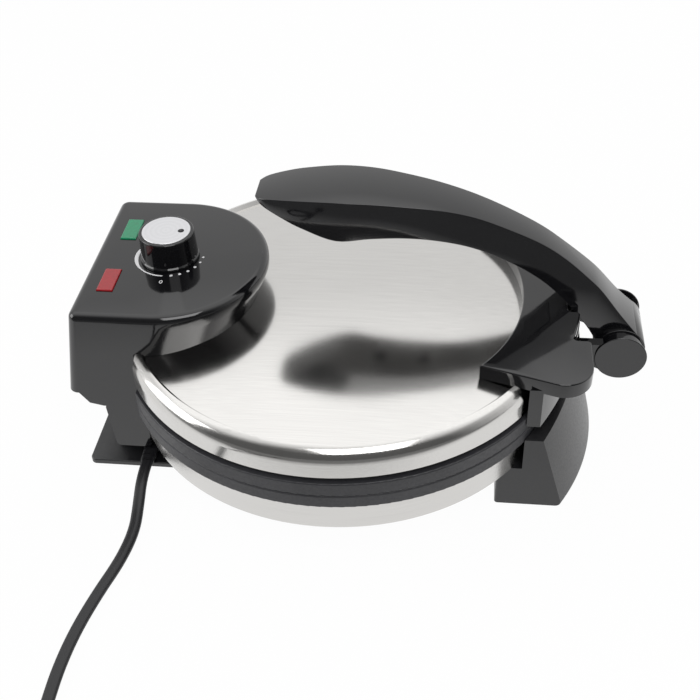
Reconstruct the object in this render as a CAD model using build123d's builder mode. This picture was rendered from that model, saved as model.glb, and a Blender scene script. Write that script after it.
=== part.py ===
from build123d import *
import os
from math import atan2, cos, degrees, hypot, pi, radians, sin, sqrt, tan

# Round press cooker with a hinged lid, in millimetres. +X runs from the control housing at the back to the
# press handle's barrel at the front, and +Z is up from the table. The origin is under the middle of the
# object, and reaches, plans and outlines are measured from the plates' own axis, which lies a little behind it.

# ---- Driving dimensions: plates, rims and steel walls ----
ring_radius = 140.0
flat_reach = ring_radius - 22.0   # the rims and walls are cut flat across the back, this far behind their axis
split_height = 61.7           # joint between the base and the lid above the table
closed_gap = 0.3              # between the two rims with the lid shut
lower_ring_height = 8.95
upper_ring_height = 9.35
ring_wall = 13.0
ring_ledge_depth = 4.0
plate_thickness = 5.6
plate_edge_gap = 0.3
plate_set_back = 0.5          # each cooking face below its rim
collar_radius = ring_radius - 4.0
collar_height = 3.6
shell_radius = ring_radius - 1.6
shell_wall_height = 9.4
shell_sheet = 0.8
shell_flange = 4.0
shoulder_radius = 9.5
crest_radius = shell_radius - 7.4
crease_radius = crest_radius - 2.1
crease_depth = 2.4
dome_rise = 5.0
skirt_top_radius = ring_radius - 2.0
skirt_bottom_radius = skirt_top_radius - 2.7
skirt_height = 21.6
cover_sheet = 1.4
element_radius = ring_radius - 52.0
element_wire = 4.0
insulator_radius = ring_radius - 36.0
insulator_thickness = 8.0

# ---- Driving dimensions: control housing and lid hinge ----
rear_reach = flat_reach + 48.0
housing_half_width = 63.5
housing_height = 119.6
housing_wall = 2.6
housing_front_gap = 1.0       # between the housing's front wall and the flat of the rims
housing_lean = 11.0           # the back's top edge ahead of its lower edge
housing_edge_radius = 4.5
housing_corner_radius = 6.0
housing_floor_height = 48.6
panel_set_back = flat_reach - 10.5   # centre of the round end of the panel behind the plates' axis
panel_rim_depth = 7.0         # upright band round the panel, above the drawn-in part
panel_foot_reach = 49.0       # the round end draws in to this where it meets the lid
leg_thickness = 13.2
leg_bottom_height = 14.4
hinge_set_back = flat_reach + 13.5
hinge_height = 23.2
hinge_pin_radius = 4.0
running_gap = 0.05
sleeve_wall = 1.6
leg_gap = 0.4
seat_gap = 0.15               # between a piece and the one that it is set into
nest_gap = 0.2                # between the mouldings and the steel shell they straddle
hatch_reach = hinge_set_back + 0.5   # centre of the hatch in the housing's floor
hatch_size = (12.0, 80.0)

# ---- Driving dimensions: rear stand and front foot ----
pad_thickness = 3.0
pad_radius = 7.0
stand_plate_thickness = 3.5
stand_back_reach = hinge_set_back + 28.5
stand_front_reach = hinge_set_back - 45.5
stand_half_width = 70.0
stand_screw_depth = 7.0       # from the screws' seats up to the base
hinge_block_radius = 15.0
foot_top_radius = ring_radius + 7.0
foot_flare_radius = foot_top_radius + 15.7
foot_inner_radius = ring_radius + 0.5
foot_half_width = 80.8
foot_back_reach = ring_radius - 40.0
foot_wall = 3.0
foot_edge_radius = 3.0
foot_crown_height = 65.5      # top of the foot on the centre line
crown_sweep_radius = 310.0    # the foot's top and the bracket's lower edge are arcs of this radius
foot_plate_thickness = 2.6
foot_plate_lift = 1.4
post_screw_length = 9.0

# ---- Driving dimensions: front bracket and press handle ----
bracket_inner_radius = ring_radius - 28.0
bracket_top_height = 102.0
bracket_thickness = 9.6
bracket_tip = (bracket_inner_radius - 25.5, 70.2)
bracket_side = (ring_radius - 9.0, 83.4)
bracket_corner = (ring_radius - 6.8, 66.3)
bracket_corner_radius = 17.3
bracket_far_side = (ring_radius - 18.0, 73.0)   # the wing on the +Y side is cut back to a larger corner
bracket_far_corner = 49.5
bracket_far_radius = 38.0
bracket_far_skirt = 69.0
bracket_skirt_inner_radius = ring_radius + 0.6
bracket_skirt_radius = bracket_skirt_inner_radius + 6.4
bracket_skirt_half_width = 80.8
bracket_notch_radius = bracket_skirt_radius - 0.5
bracket_notch_half_width = 43.5
bracket_edge_gap = 11.5       # between the bracket's lower edge and the foot's top
neck_slot_reach = bracket_skirt_radius - 9.0
neck_slot_half_width = 16.4
neck_slot_length = 40.0
neck_slot_drop = 4.0          # below the bracket's plate, in its skirt
hub_radius = 15.3
hub_half_width = 17.3
pivot_reach = bracket_skirt_radius + hub_radius + 9.7
pivot_height = 73.8
pivot_bolt_radius = 4.0
cap_radius = 15.6
cap_thickness = 1.2
ear_radius = 14.2
ear_thickness = 6.4
ear_top_rise = 8.9            # top edge of the ears above the pivot
ear_gap = 0.3
handle_wall = 3.2
handle_edge_radius = 1.6

# ---- Driving dimensions: knob, thermostat and lamps ----
knob_height = 19.0
knob_lift = 0.5
knob_foot_radius = 18.3
knob_foot_height = 2.2
knob_body_radius = 17.6
knob_top_radius = 16.9
knob_cap_radius = 15.1
knob_cap_depth = 1.4
knob_cap_proud = 0.4
knob_dot_radius = 2.0
shaft_radius = 3.0
bushing_radius = 5.0
thermostat_size = (34.0, 30.0, 16.0)
lens_size = (10.4, 22.2)
lens_set_back = panel_set_back + 31.5
lens_side_reach = 27.4
lens_proud = 1.0
lens_depth = 6.0

# ---- Driving dimensions: cord and plug ----
cord_diameter = 7.0
strain_relief_length = 22.6
strain_relief_root = (10.4, 6.0)
strain_relief_tip = (8.6, 5.6)
cord_exit_reach = hinge_set_back - 10.7
cord_exit_height = 10.0
coil_mean_radius = 38.0
coil_turns = 1.25             # in each of the coil's two layers
coil_pitch = 7.6
coil_lift = 1.0
tie_width = 6.0
tie_sheet = 0.8
plug_size = (27.0, 22.0, 17.0)
blade_size = (17.0, 1.5, 6.3)
blade_spacing = 12.7
screw_radius = 2.0
screw_head_radius = 3.8
screw_head_height = 2.4

# ---- Places worked out from them ----
front_reach = pivot_reach + cap_radius
axis_x = (rear_reach - front_reach) / 2
lower_ring_top = split_height - closed_gap / 2
lower_ring_bottom = lower_ring_top - lower_ring_height
upper_ring_bottom = split_height + closed_gap / 2
upper_ring_top = upper_ring_bottom + upper_ring_height
collar_top = upper_ring_top + collar_height
shoulder_start = collar_top + shell_wall_height
shoulder_centre_radius = shell_radius - shoulder_radius
crest_height = shoulder_start + sqrt(shoulder_radius**2 - (crest_radius - shoulder_centre_radius) ** 2)
crease_height = crest_height - crease_depth
dome_radius = (crease_radius**2 + dome_rise**2) / (2 * dome_rise)
dome_centre = crease_height + dome_rise - dome_radius
dome_edge_angle = degrees(atan2(crease_height - dome_centre, crease_radius))
skirt_bottom = lower_ring_bottom - skirt_height
plate_radius = ring_radius - ring_wall
plate_flat_reach = flat_reach - ring_ledge_depth
housing_front_reach = flat_reach + housing_front_gap
leg_inner = housing_half_width - leg_thickness
block_half_width = leg_inner - leg_gap
ear_inner = hub_half_width + ear_gap
ear_outer = ear_inner + ear_thickness
bracket_bottom_height = bracket_top_height - bracket_thickness
bracket_lower_edge = foot_crown_height + bracket_edge_gap
bracket_screw_places = [
    (ring_radius - inward, side * across) for inward, across in ((23.0, 32.0), (41.5, 62.0)) for side in (-1, 1)
]
stand_screw_places = [(-stand_front_reach - 16.0, side * 34.0) for side in (-1, 1)]
foot_screw_places = [(foot_back_reach + 14.0, 0), (foot_back_reach + 10.0, -46.0), (foot_back_reach + 10.0, 46.0)]
plate_axis = Axis((axis_x, 0, 0), (0, 0, 1))
radial_plane = Plane(origin=(axis_x, 0, 0), x_dir=(1, 0, 0), z_dir=(0, -1, 0))
panel_axis_x = axis_x - panel_set_back


def level(height):
    """Level plane at a height above the table, with its origin on the plates' axis."""
    return Plane(origin=(axis_x, 0, height))


def upright(y):
    """Upright plane across the hinge axes: its x runs to the front and its y up from the table."""
    return Plane(origin=(axis_x, y, 0), x_dir=(1, 0, 0), z_dir=(0, -1, 0))


def facing_front(reach):
    """Upright plane that looks to the front: its x runs along +Y and its y up from the table."""
    return Plane(origin=(axis_x + reach, 0, 0), x_dir=(0, 1, 0), z_dir=(1, 0, 0))


def flat_plane(reach):
    """Plane of the flat cut across the back."""
    return Plane(origin=(axis_x - reach, 0, 0), z_dir=(1, 0, 0))


def save(name, piece):
    """Label a finished piece and write it under its own name."""
    piece.part.label = name
    export_step(piece.part, f"parts/{name}.step")


os.makedirs("parts", exist_ok=True)

# ---- Rims, plates and heaters ----
with BuildPart() as lower_ring:
    with BuildSketch(radial_plane):
        with BuildLine():
            Polyline(
                (ring_radius, lower_ring_bottom),
                (ring_radius, lower_ring_top),
                (plate_radius + plate_edge_gap, lower_ring_top),
                (plate_radius + plate_edge_gap, lower_ring_top - plate_set_back - plate_thickness),
                (plate_radius - ring_ledge_depth, lower_ring_top - plate_set_back - plate_thickness),
                (plate_radius - ring_ledge_depth, lower_ring_bottom),
                close=True,
            )
        make_face()
    revolve(axis=plate_axis)
    split(bisect_by=flat_plane(flat_reach))
    with BuildSketch(level(lower_ring_bottom)):
        with Locations((-flat_reach + ring_ledge_depth - plate_edge_gap, 0)):
            Rectangle(ring_ledge_depth - plate_edge_gap, 2 * plate_radius, align=(Align.MAX, Align.CENTER))
        Circle(plate_radius + 1, mode=Mode.INTERSECT)
    extrude(amount=lower_ring_height)
    fillet(lower_ring.edges().filter_by(GeomType.CIRCLE).filter_by(lambda e: e.radius > ring_radius - 0.01), 0.8)
save("lower_ring", lower_ring)

with BuildPart() as upper_ring:
    with BuildSketch(radial_plane):
        with BuildLine():
            Polyline(
                (ring_radius, upper_ring_bottom),
                (ring_radius, upper_ring_top),
                (collar_radius, upper_ring_top),
                (collar_radius, collar_top),
                (plate_radius - ring_ledge_depth, collar_top),
                (plate_radius - ring_ledge_depth, upper_ring_bottom + plate_set_back + plate_thickness),
                (plate_radius + plate_edge_gap, upper_ring_bottom + plate_set_back + plate_thickness),
                (plate_radius + plate_edge_gap, upper_ring_bottom),
                close=True,
            )
        make_face()
    revolve(axis=plate_axis)
    split(bisect_by=flat_plane(flat_reach))
    with BuildSketch(level(upper_ring_bottom)):
        with Locations((-flat_reach + ring_ledge_depth - plate_edge_gap, 0)):
            Rectangle(ring_ledge_depth - plate_edge_gap, 2 * plate_radius, align=(Align.MAX, Align.CENTER))
        Circle(plate_radius + 1, mode=Mode.INTERSECT)
    extrude(amount=collar_top - upper_ring_bottom)
    fillet(upper_ring.edges().filter_by(GeomType.CIRCLE).filter_by(lambda e: e.radius > ring_radius - 0.01), 0.8)
save("upper_ring", upper_ring)


def cooking_plate(bottom):
    """Cast plate with its flat at the back, from its lower face up."""
    with BuildPart() as plate:
        with BuildSketch(level(bottom)):
            Circle(plate_radius)
        extrude(amount=plate_thickness)
        split(bisect_by=flat_plane(plate_flat_reach))
    return plate


def heater(top, side):
    """Sheathed heater bent to a ring with a gap at the back, its two cold ends turned away from the plate."""
    with BuildPart() as element:
        with BuildSketch(Plane(origin=(axis_x + element_radius, 0, top - side * element_wire), z_dir=(0, 1, 0))):
            Circle(element_wire)
        revolve(axis=plate_axis, revolution_arc=340)
        end = radians(340)
        with Locations(
            (axis_x + element_radius, 0, top - side * element_wire),
            (axis_x + element_radius * cos(end), element_radius * sin(end), top - side * element_wire),
        ):
            Sphere(element_wire)
    return element


lower_plate = cooking_plate(lower_ring_top - plate_set_back - plate_thickness)
save("lower_plate", lower_plate)
upper_plate = cooking_plate(upper_ring_bottom + plate_set_back)
save("upper_plate", upper_plate)

lower_plate_underside = lower_ring_top - plate_set_back - plate_thickness
upper_plate_back = upper_ring_bottom + plate_set_back + plate_thickness
lower_element = heater(lower_plate_underside - 0.05, 1)
save("lower_element", lower_element)
upper_element = heater(upper_plate_back + 0.05, -1)
save("upper_element", upper_element)

with BuildPart() as lower_insulator:
    with BuildSketch(level(lower_plate_underside - 2 * element_wire - 0.2)):
        Circle(insulator_radius)
    extrude(amount=-insulator_thickness)
save("lower_insulator", lower_insulator)

with BuildPart() as upper_insulator:
    with BuildSketch(level(upper_plate_back + 2 * element_wire + 0.2)):
        Circle(insulator_radius)
    extrude(amount=insulator_thickness)
save("upper_insulator", upper_insulator)

# ---- Steel walls of the base and the lid ----
with BuildPart() as skirt_core:
    with BuildSketch(radial_plane):
        with BuildLine():
            Polyline(
                (0, skirt_bottom - 1),
                (0, lower_ring_bottom + 1),
                (skirt_top_radius - shell_sheet, lower_ring_bottom + 1),
                (skirt_top_radius - shell_sheet, lower_ring_bottom),
                (skirt_bottom_radius - shell_sheet, skirt_bottom),
                (skirt_bottom_radius - shell_sheet, skirt_bottom - 1),
                close=True,
            )
        make_face()
    revolve(axis=plate_axis)
    split(bisect_by=flat_plane(flat_reach - shell_sheet))

with BuildPart() as base_skirt:
    with BuildSketch(radial_plane):
        with BuildLine():
            Polyline(
                (0, skirt_bottom),
                (0, lower_ring_bottom),
                (skirt_top_radius, lower_ring_bottom),
                (skirt_bottom_radius, skirt_bottom),
                close=True,
            )
        make_face()
    revolve(axis=plate_axis)
    split(bisect_by=flat_plane(flat_reach))
    add(skirt_core.part, mode=Mode.SUBTRACT)
save("base_skirt", base_skirt)

with BuildPart() as base_cover:
    with BuildSketch(level(skirt_bottom)):
        Circle(skirt_bottom_radius - shell_sheet - seat_gap)
    extrude(amount=cover_sheet)
    split(bisect_by=flat_plane(flat_reach - shell_sheet - seat_gap))
    with BuildSketch(level(skirt_bottom)):
        with Locations(*foot_screw_places, *stand_screw_places):
            Circle(screw_radius + running_gap)
    extrude(amount=cover_sheet, mode=Mode.SUBTRACT)
save("base_cover", base_cover)

with BuildPart() as shell_core:
    with BuildSketch(radial_plane):
        with BuildLine():
            Polyline(
                (0, collar_top - 1),
                (shell_radius - shell_flange, collar_top - 1),
                (shell_radius - shell_flange, collar_top + shell_sheet),
                (shell_radius - shell_sheet, collar_top + shell_sheet),
                (shell_radius - shell_sheet, shoulder_start),
            )
            CenterArc(
                (shoulder_centre_radius, shoulder_start),
                shoulder_radius - shell_sheet,
                0,
                degrees(atan2(crest_height - shoulder_start, crest_radius - shoulder_centre_radius)),
            )
            shoulder_end = (
                shoulder_centre_radius
                + (crest_radius - shoulder_centre_radius) * (1 - shell_sheet / shoulder_radius),
                shoulder_start + (crest_height - shoulder_start) * (1 - shell_sheet / shoulder_radius),
            )
            Line(shoulder_end, (crease_radius, crease_height - shell_sheet))
            CenterArc((0, dome_centre - shell_sheet), dome_radius, dome_edge_angle, 90 - dome_edge_angle)
            Line((0, crease_height - shell_sheet + dome_rise), (0, collar_top - 1))
        make_face()
    revolve(axis=plate_axis)
    split(bisect_by=flat_plane(flat_reach + 1))


def lid_outline(clearance):
    """Half section of the lid's steel shell, grown by a clearance."""
    start = (crest_radius - shoulder_centre_radius, crest_height - shoulder_start)
    grown = (shoulder_radius + clearance) / shoulder_radius
    crest = (shoulder_centre_radius + start[0] * grown, shoulder_start + start[1] * grown)
    crease = (crease_radius, crease_height + clearance)
    with BuildLine() as outline:
        Polyline(
            (0, crease[1] + dome_rise),
            (0, collar_top),
            (shell_radius + clearance, collar_top),
            (shell_radius + clearance, shoulder_start),
        )
        CenterArc(
            (shoulder_centre_radius, shoulder_start),
            shoulder_radius + clearance,
            0,
            degrees(atan2(start[1], start[0])),
        )
        Line(crest, crease)
        CenterArc((0, dome_centre + clearance), dome_radius, dome_edge_angle, 90 - dome_edge_angle)
    return outline


shell_line = lid_outline(0)
with BuildPart() as lid_shell:
    with BuildSketch(radial_plane):
        with BuildLine():
            add(shell_line.line)
        make_face()
    revolve(axis=plate_axis)
    split(bisect_by=flat_plane(flat_reach))
    add(shell_core.part, mode=Mode.SUBTRACT)
    with BuildSketch(level(collar_top + 4)):
        with Locations(*bracket_screw_places):
            Circle(screw_radius + running_gap)
    extrude(amount=shoulder_radius * 3, mode=Mode.SUBTRACT)
save("lid_shell", lid_shell)

# The space of the closed lid, which the mouldings that straddle it are cut back from.
nest_line = lid_outline(nest_gap)
with BuildPart() as lid_space:
    with BuildSketch(radial_plane):
        with BuildLine():
            add(nest_line.line)
        make_face()
    revolve(axis=plate_axis)
    with BuildSketch(level(upper_ring_bottom - closed_gap)):
        Circle(ring_radius + closed_gap)
    extrude(amount=upper_ring_top - upper_ring_bottom + 2 * closed_gap)
    with BuildSketch(level(upper_ring_top)):
        Circle(collar_radius + closed_gap)
    extrude(amount=collar_height)
    split(bisect_by=flat_plane(flat_reach + housing_front_gap))

# ---- Control housing: panel, cheeks and hinge legs in one moulding ----
def housing_outline(front):
    """Side of the housing behind its round end: a leaning back, a lip above the floor and a flat panel."""
    return [
        (-rear_reach + housing_lean, housing_height),
        (-rear_reach, 59.0),
        (-rear_reach + 7.0, 58.6),
        (-rear_reach + 12.5, 50.6),
        (-rear_reach + 21.1, housing_floor_height),
        (-housing_front_reach, housing_floor_height),
        (-housing_front_reach, crease_height - 3),
        (front, crease_height - 3),
        (front, housing_height),
    ]


leg_outline = [
    (-hinge_set_back - 12.6, housing_floor_height + 1.5),
    (-hinge_set_back - 10.4, leg_bottom_height),
    (-housing_front_reach, leg_bottom_height),
    (-housing_front_reach, housing_floor_height + 1.5),
]


def housing_box(inset):
    """The housing behind its round end, drawn in by a wall, with its back corners and top edges rounded."""
    with BuildPart() as box:
        with BuildSketch(upright(0)):
            with BuildLine():
                Polyline(*housing_outline(inset - panel_set_back), close=True)
            make_face()
            if inset:
                offset(amount=-inset)
        extrude(amount=housing_half_width - inset, both=True)
        upright_edges = box.edges().filter_by(lambda e: abs(e.tangent_at(0.5).Z) > 0.9 and e.length > 45)
        fillet(upright_edges.sort_by(Axis.X)[:2], housing_corner_radius - inset)
        panel = box.faces().sort_by(Axis.Z)[-1]
        fillet(panel.edges().sort_by(Axis.X)[:-1], housing_edge_radius - inset)
    return box


def round_end(inset, bottom):
    """Round end of the panel, drawn in by a wall: an upright band over a part that narrows to an oval foot."""
    top = housing_height - inset
    rim_bottom = housing_height - panel_rim_depth
    wide = housing_half_width - inset
    edge = housing_edge_radius - inset
    slope = (housing_half_width - panel_foot_reach) / (rim_bottom - crest_height)
    with BuildPart() as drum:
        with BuildSketch(Plane(origin=(panel_axis_x, 0, rim_bottom))):
            Circle(wide)
            Rectangle(wide, 2 * wide, align=(Align.MIN, Align.CENTER), mode=Mode.INTERSECT)
        with BuildSketch(Plane(origin=(panel_axis_x, 0, bottom))):
            Ellipse(wide - slope * (rim_bottom - bottom), wide)
            Rectangle(wide, 2 * wide, align=(Align.MIN, Align.CENTER), mode=Mode.INTERSECT)
        loft(ruled=True)
    with BuildPart() as rim:
        with BuildSketch(Plane(origin=(panel_axis_x, 0, 0), x_dir=(1, 0, 0), z_dir=(0, -1, 0))):
            with BuildLine():
                Polyline((0, top), (0, rim_bottom), (wide, rim_bottom), (wide, top - edge))
                RadiusArc((wide, top - edge), (wide - edge, top), -edge)
                Line((wide - edge, top), (0, top))
            make_face()
        revolve(axis=Axis((panel_axis_x, 0, 0), (0, 0, 1)))
        split(bisect_by=flat_plane(panel_set_back))
        add(drum.part)
    return rim


outer_box = housing_box(0)
outer_end = round_end(0, crease_height - 3)
inner_box = housing_box(housing_wall)
inner_end = round_end(housing_wall, crease_height)

cover_screw_places = [
    (-hatch_reach + along * (hatch_size[0] / 2 + screw_head_radius), side * hatch_size[1] / 3)
    for along in (-1, 1)
    for side in (-1, 1)
]

with BuildPart() as control_housing:
    add(outer_box.part)
    add(outer_end.part)
    add(inner_box.part, mode=Mode.SUBTRACT)
    add(inner_end.part, mode=Mode.SUBTRACT)
    for side in (-1, 1):
        with BuildSketch(upright(side * (leg_inner + leg_thickness / 2))):
            with BuildLine():
                Polyline(*leg_outline, close=True)
            make_face()
            fillet(vertices().group_by(Axis.Z)[0], 3.0)
        extrude(amount=leg_thickness / 2, both=True)
    add(lid_space.part, mode=Mode.SUBTRACT)
    with BuildSketch(level(housing_floor_height - 1)):
        with Locations((-hatch_reach, 0)):
            Rectangle(*hatch_size)
        with Locations(*cover_screw_places):
            Circle(screw_radius + running_gap)
    extrude(amount=housing_wall + 2, mode=Mode.SUBTRACT)
    with BuildSketch(upright(0)):
        with Locations((-hinge_set_back, hinge_height)):
            Circle(hinge_pin_radius + running_gap + sleeve_wall)
    extrude(amount=housing_half_width - 3.0, both=True, mode=Mode.SUBTRACT)
    with BuildSketch(level(housing_height - housing_wall - 1)):
        with Locations((-panel_set_back, 0)):
            Circle(bushing_radius + seat_gap)
        with Locations((-lens_set_back, -lens_side_reach), (-lens_set_back, lens_side_reach)):
            Rectangle(lens_size[0], lens_size[1])
    extrude(amount=housing_wall + 2, mode=Mode.SUBTRACT)
save("control_housing", control_housing)


def screws(places, head_bottom, length):
    """Pan-head screws that stand upright, all at one height, with their heads below."""
    with BuildPart() as group:
        with BuildSketch(level(head_bottom)):
            with Locations(*places):
                Circle(screw_head_radius)
        extrude(amount=screw_head_height)
        fillet(group.edges().group_by(Axis.Z)[0], 0.8)
        with BuildSketch(level(head_bottom + screw_head_height)):
            with Locations(*places):
                Circle(screw_radius)
        extrude(amount=length)
    return group


with BuildPart() as housing_cover:
    with BuildSketch(level(housing_floor_height)):
        with Locations((-hatch_reach, 0)):
            Rectangle(hatch_size[0] + 4 * screw_head_radius, 2 * block_half_width)
        with Locations(*cover_screw_places):
            Circle(screw_radius + running_gap, mode=Mode.SUBTRACT)
    extrude(amount=-housing_wall)
save("housing_cover", housing_cover)

housing_screws = screws(
    cover_screw_places,
    housing_floor_height - housing_wall - screw_head_height,
    2 * housing_wall + 1.0,
)
save("housing_screws", housing_screws)

# ---- Thermostat, knob and lamps ----
panel_underside = housing_height - housing_wall
panel_centre = (-panel_set_back, 0)

with BuildPart() as thermostat:
    with BuildSketch(level(panel_underside)):
        with Locations(panel_centre):
            Rectangle(thermostat_size[0], thermostat_size[1])
            Circle(shaft_radius + running_gap, mode=Mode.SUBTRACT)
    extrude(amount=-thermostat_size[2])
    fillet(thermostat.edges().filter_by(Axis.Z).filter_by(GeomType.LINE), 1.5)
save("thermostat", thermostat)

with BuildPart() as thermostat_bushing:
    with BuildSketch(level(panel_underside)):
        with Locations(panel_centre):
            Circle(bushing_radius)
            Circle(shaft_radius + running_gap, mode=Mode.SUBTRACT)
    extrude(amount=housing_wall + knob_lift / 2)
save("thermostat_bushing", thermostat_bushing)

knob_bottom = housing_height + knob_lift
knob_top = housing_height + knob_height
shaft_top = knob_top - knob_cap_depth - 3.0
with BuildPart() as thermostat_shaft:
    with BuildSketch(level(panel_underside - thermostat_size[2] + 2)):
        with Locations(panel_centre):
            Circle(shaft_radius)
    extrude(amount=shaft_top - panel_underside + thermostat_size[2] - 2)
save("thermostat_shaft", thermostat_shaft)

with BuildPart() as control_knob:
    with BuildSketch(Plane(origin=(panel_axis_x, 0, 0), x_dir=(1, 0, 0), z_dir=(0, -1, 0))):
        with BuildLine():
            Polyline(
                (shaft_radius + running_gap, knob_bottom),
                (knob_foot_radius, knob_bottom),
                (knob_foot_radius, knob_bottom + knob_foot_height - 0.8),
                (knob_body_radius, knob_bottom + knob_foot_height),
                (knob_top_radius, knob_top),
                (knob_cap_radius, knob_top),
                (knob_cap_radius, knob_top - knob_cap_depth),
                (0, knob_top - knob_cap_depth),
                (0, shaft_top),
                (shaft_radius + running_gap, shaft_top),
                close=True,
            )
        make_face()
    revolve(axis=Axis((panel_axis_x, 0, 0), (0, 0, 1)))
    fillet(control_knob.edges().group_by(Axis.Z)[-1].sort_by(SortBy.RADIUS)[-1], 0.8)
save("control_knob", control_knob)

with BuildPart() as knob_cap:
    with BuildSketch(level(knob_top - knob_cap_depth)):
        with Locations(panel_centre):
            Circle(knob_cap_radius - seat_gap)
        with Locations((-panel_set_back + 0.62 * knob_cap_radius, 0)):
            Circle(knob_dot_radius, mode=Mode.SUBTRACT)
    extrude(amount=knob_cap_depth + knob_cap_proud)
    fillet(knob_cap.edges().group_by(Axis.Z)[-1].sort_by(SortBy.RADIUS)[-1], 0.35)
save("knob_cap", knob_cap)

lens_flange = 2.0
for name, side in (("green_lens", 1), ("red_lens", -1)):
    with BuildPart() as lens:
        with BuildSketch(level(housing_height + lens_proud)):
            with Locations((-lens_set_back, side * lens_side_reach)):
                Rectangle(lens_size[0] - 2 * seat_gap, lens_size[1] - 2 * seat_gap)
        extrude(amount=-lens_proud - housing_wall)
        fillet(lens.edges().group_by(Axis.Z)[-1], 0.7)
        with BuildSketch(level(panel_underside)):
            with Locations((-lens_set_back, side * lens_side_reach)):
                Rectangle(lens_size[0] + lens_flange, lens_size[1] + 2 * lens_flange)
        extrude(amount=-1.2)
    save(name, lens)

with BuildPart() as lamp_holders:
    with BuildSketch(level(panel_underside - 1.2)):
        with Locations((-lens_set_back, -lens_side_reach), (-lens_set_back, lens_side_reach)):
            RectangleRounded(lens_size[0], lens_size[1] - 4, 2)
    extrude(amount=-lens_depth - 6)
save("lamp_holders", lamp_holders)

with BuildPart() as thermal_fuse:
    with BuildSketch(level(upper_plate_back + element_wire / 2)):
        RectangleRounded(40, 14, 3)
    extrude(amount=-element_wire / 2)
    with BuildSketch(facing_front(-12)):
        with Locations((0, upper_plate_back + element_wire / 2 + 3)):
            Circle(3)
    extrude(amount=24)
save("thermal_fuse", thermal_fuse)

# ---- Lid hinge and rear stand ----
hinge_at = (-hinge_set_back, hinge_height)
with BuildPart() as hinge_sleeves:
    with BuildSketch(upright(0)):
        with Locations(hinge_at):
            Circle(hinge_pin_radius + sleeve_wall + running_gap / 2)
            Circle(hinge_pin_radius + running_gap, mode=Mode.SUBTRACT)
    extrude(amount=housing_half_width - 3.0, both=True)
    with BuildSketch(upright(0)):
        with Locations(hinge_at):
            Circle(2 * hinge_pin_radius)
    extrude(amount=leg_inner, both=True, mode=Mode.SUBTRACT)
save("hinge_sleeves", hinge_sleeves)

with BuildPart() as hinge_pin:
    with BuildSketch(upright(0)):
        with Locations(hinge_at):
            Circle(hinge_pin_radius)
    extrude(amount=housing_half_width - 3.5, both=True)
    chamfer(hinge_pin.edges(), 0.6)
save("hinge_pin", hinge_pin)

stand_length = stand_back_reach - stand_front_reach
stand_middle = -(stand_back_reach + stand_front_reach) / 2
stand_screw_seat = skirt_bottom - stand_screw_depth
with BuildPart() as rear_stand:
    with BuildSketch(level(pad_thickness)):
        with Locations((stand_middle, 0)):
            RectangleRounded(stand_length, 2 * stand_half_width, 4)
    extrude(amount=stand_plate_thickness)
    fillet(rear_stand.edges().group_by(Axis.Z)[-1], 0.8)
    with BuildSketch(upright(0)):
        with BuildLine():
            Polyline(
                (-hinge_set_back - hinge_block_radius, pad_thickness + 1),
                (-stand_front_reach - 4, pad_thickness + 1),
                (-stand_front_reach - 4, skirt_bottom),
                (-flat_reach - 1.2, skirt_bottom),
                (-hinge_set_back, hinge_height),
                (-hinge_set_back - hinge_block_radius, hinge_height),
                close=True,
            )
        make_face()
        with Locations(hinge_at):
            Circle(hinge_block_radius)
    extrude(amount=block_half_width, both=True)
    with BuildSketch(upright(0)):
        with Locations(hinge_at):
            Circle(hinge_pin_radius + running_gap)
    extrude(amount=block_half_width, both=True, mode=Mode.SUBTRACT)
    with BuildSketch(level(pad_thickness)):
        with Locations(*stand_screw_places):
            Circle(screw_head_radius + 0.4)
    extrude(amount=stand_screw_seat - pad_thickness, mode=Mode.SUBTRACT)
    with BuildSketch(level(pad_thickness)):
        with Locations(*stand_screw_places):
            Circle(screw_radius + running_gap)
    extrude(amount=skirt_bottom, mode=Mode.SUBTRACT)
save("rear_stand", rear_stand)

stand_screws = screws(
    stand_screw_places, stand_screw_seat - screw_head_height, stand_screw_depth + cover_sheet + 2.0
)
save("stand_screws", stand_screws)

pad_places = [
    (-reach, side * (stand_half_width - pad_radius - 3))
    for reach in (stand_back_reach - pad_radius - 3, stand_front_reach + pad_radius + 3)
    for side in (-1, 1)
]
with BuildPart() as stand_pads:
    with BuildSketch(level(0)):
        with Locations(*pad_places):
            Circle(pad_radius)
    extrude(amount=pad_thickness)
    fillet(stand_pads.edges().group_by(Axis.Z)[0], 1.0)
save("stand_pads", stand_pads)

# ---- Front foot: a flared moulding round the front of the base ----
foot_side_height = foot_crown_height - crown_sweep_radius + sqrt(crown_sweep_radius**2 - foot_half_width**2)
post_places = [(foot_back_reach + 34.0, -56.0), (foot_back_reach + 44.0, 0), (foot_back_reach + 34.0, 56.0)]


def crown_band(half_width, low, crown, back, front):
    """Bar along X whose top is the foot's crown arc."""
    side = crown - crown_sweep_radius + sqrt(crown_sweep_radius**2 - half_width**2)
    with BuildPart() as band:
        with BuildSketch(facing_front(back)):
            with BuildLine():
                Polyline((-half_width, side), (-half_width, low), (half_width, low), (half_width, side))
                ThreePointArc((half_width, side), (0, crown), (-half_width, side))
            make_face()
        extrude(amount=front - back)
    return band


foot_band = crown_band(foot_half_width, 0, foot_crown_height, foot_back_reach, foot_flare_radius + 1)
foot_slope = (foot_flare_radius - foot_top_radius) / foot_crown_height
roof_bottom = skirt_bottom - foot_wall
cavity_top_radius = foot_flare_radius - foot_slope * roof_bottom - foot_wall

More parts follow.
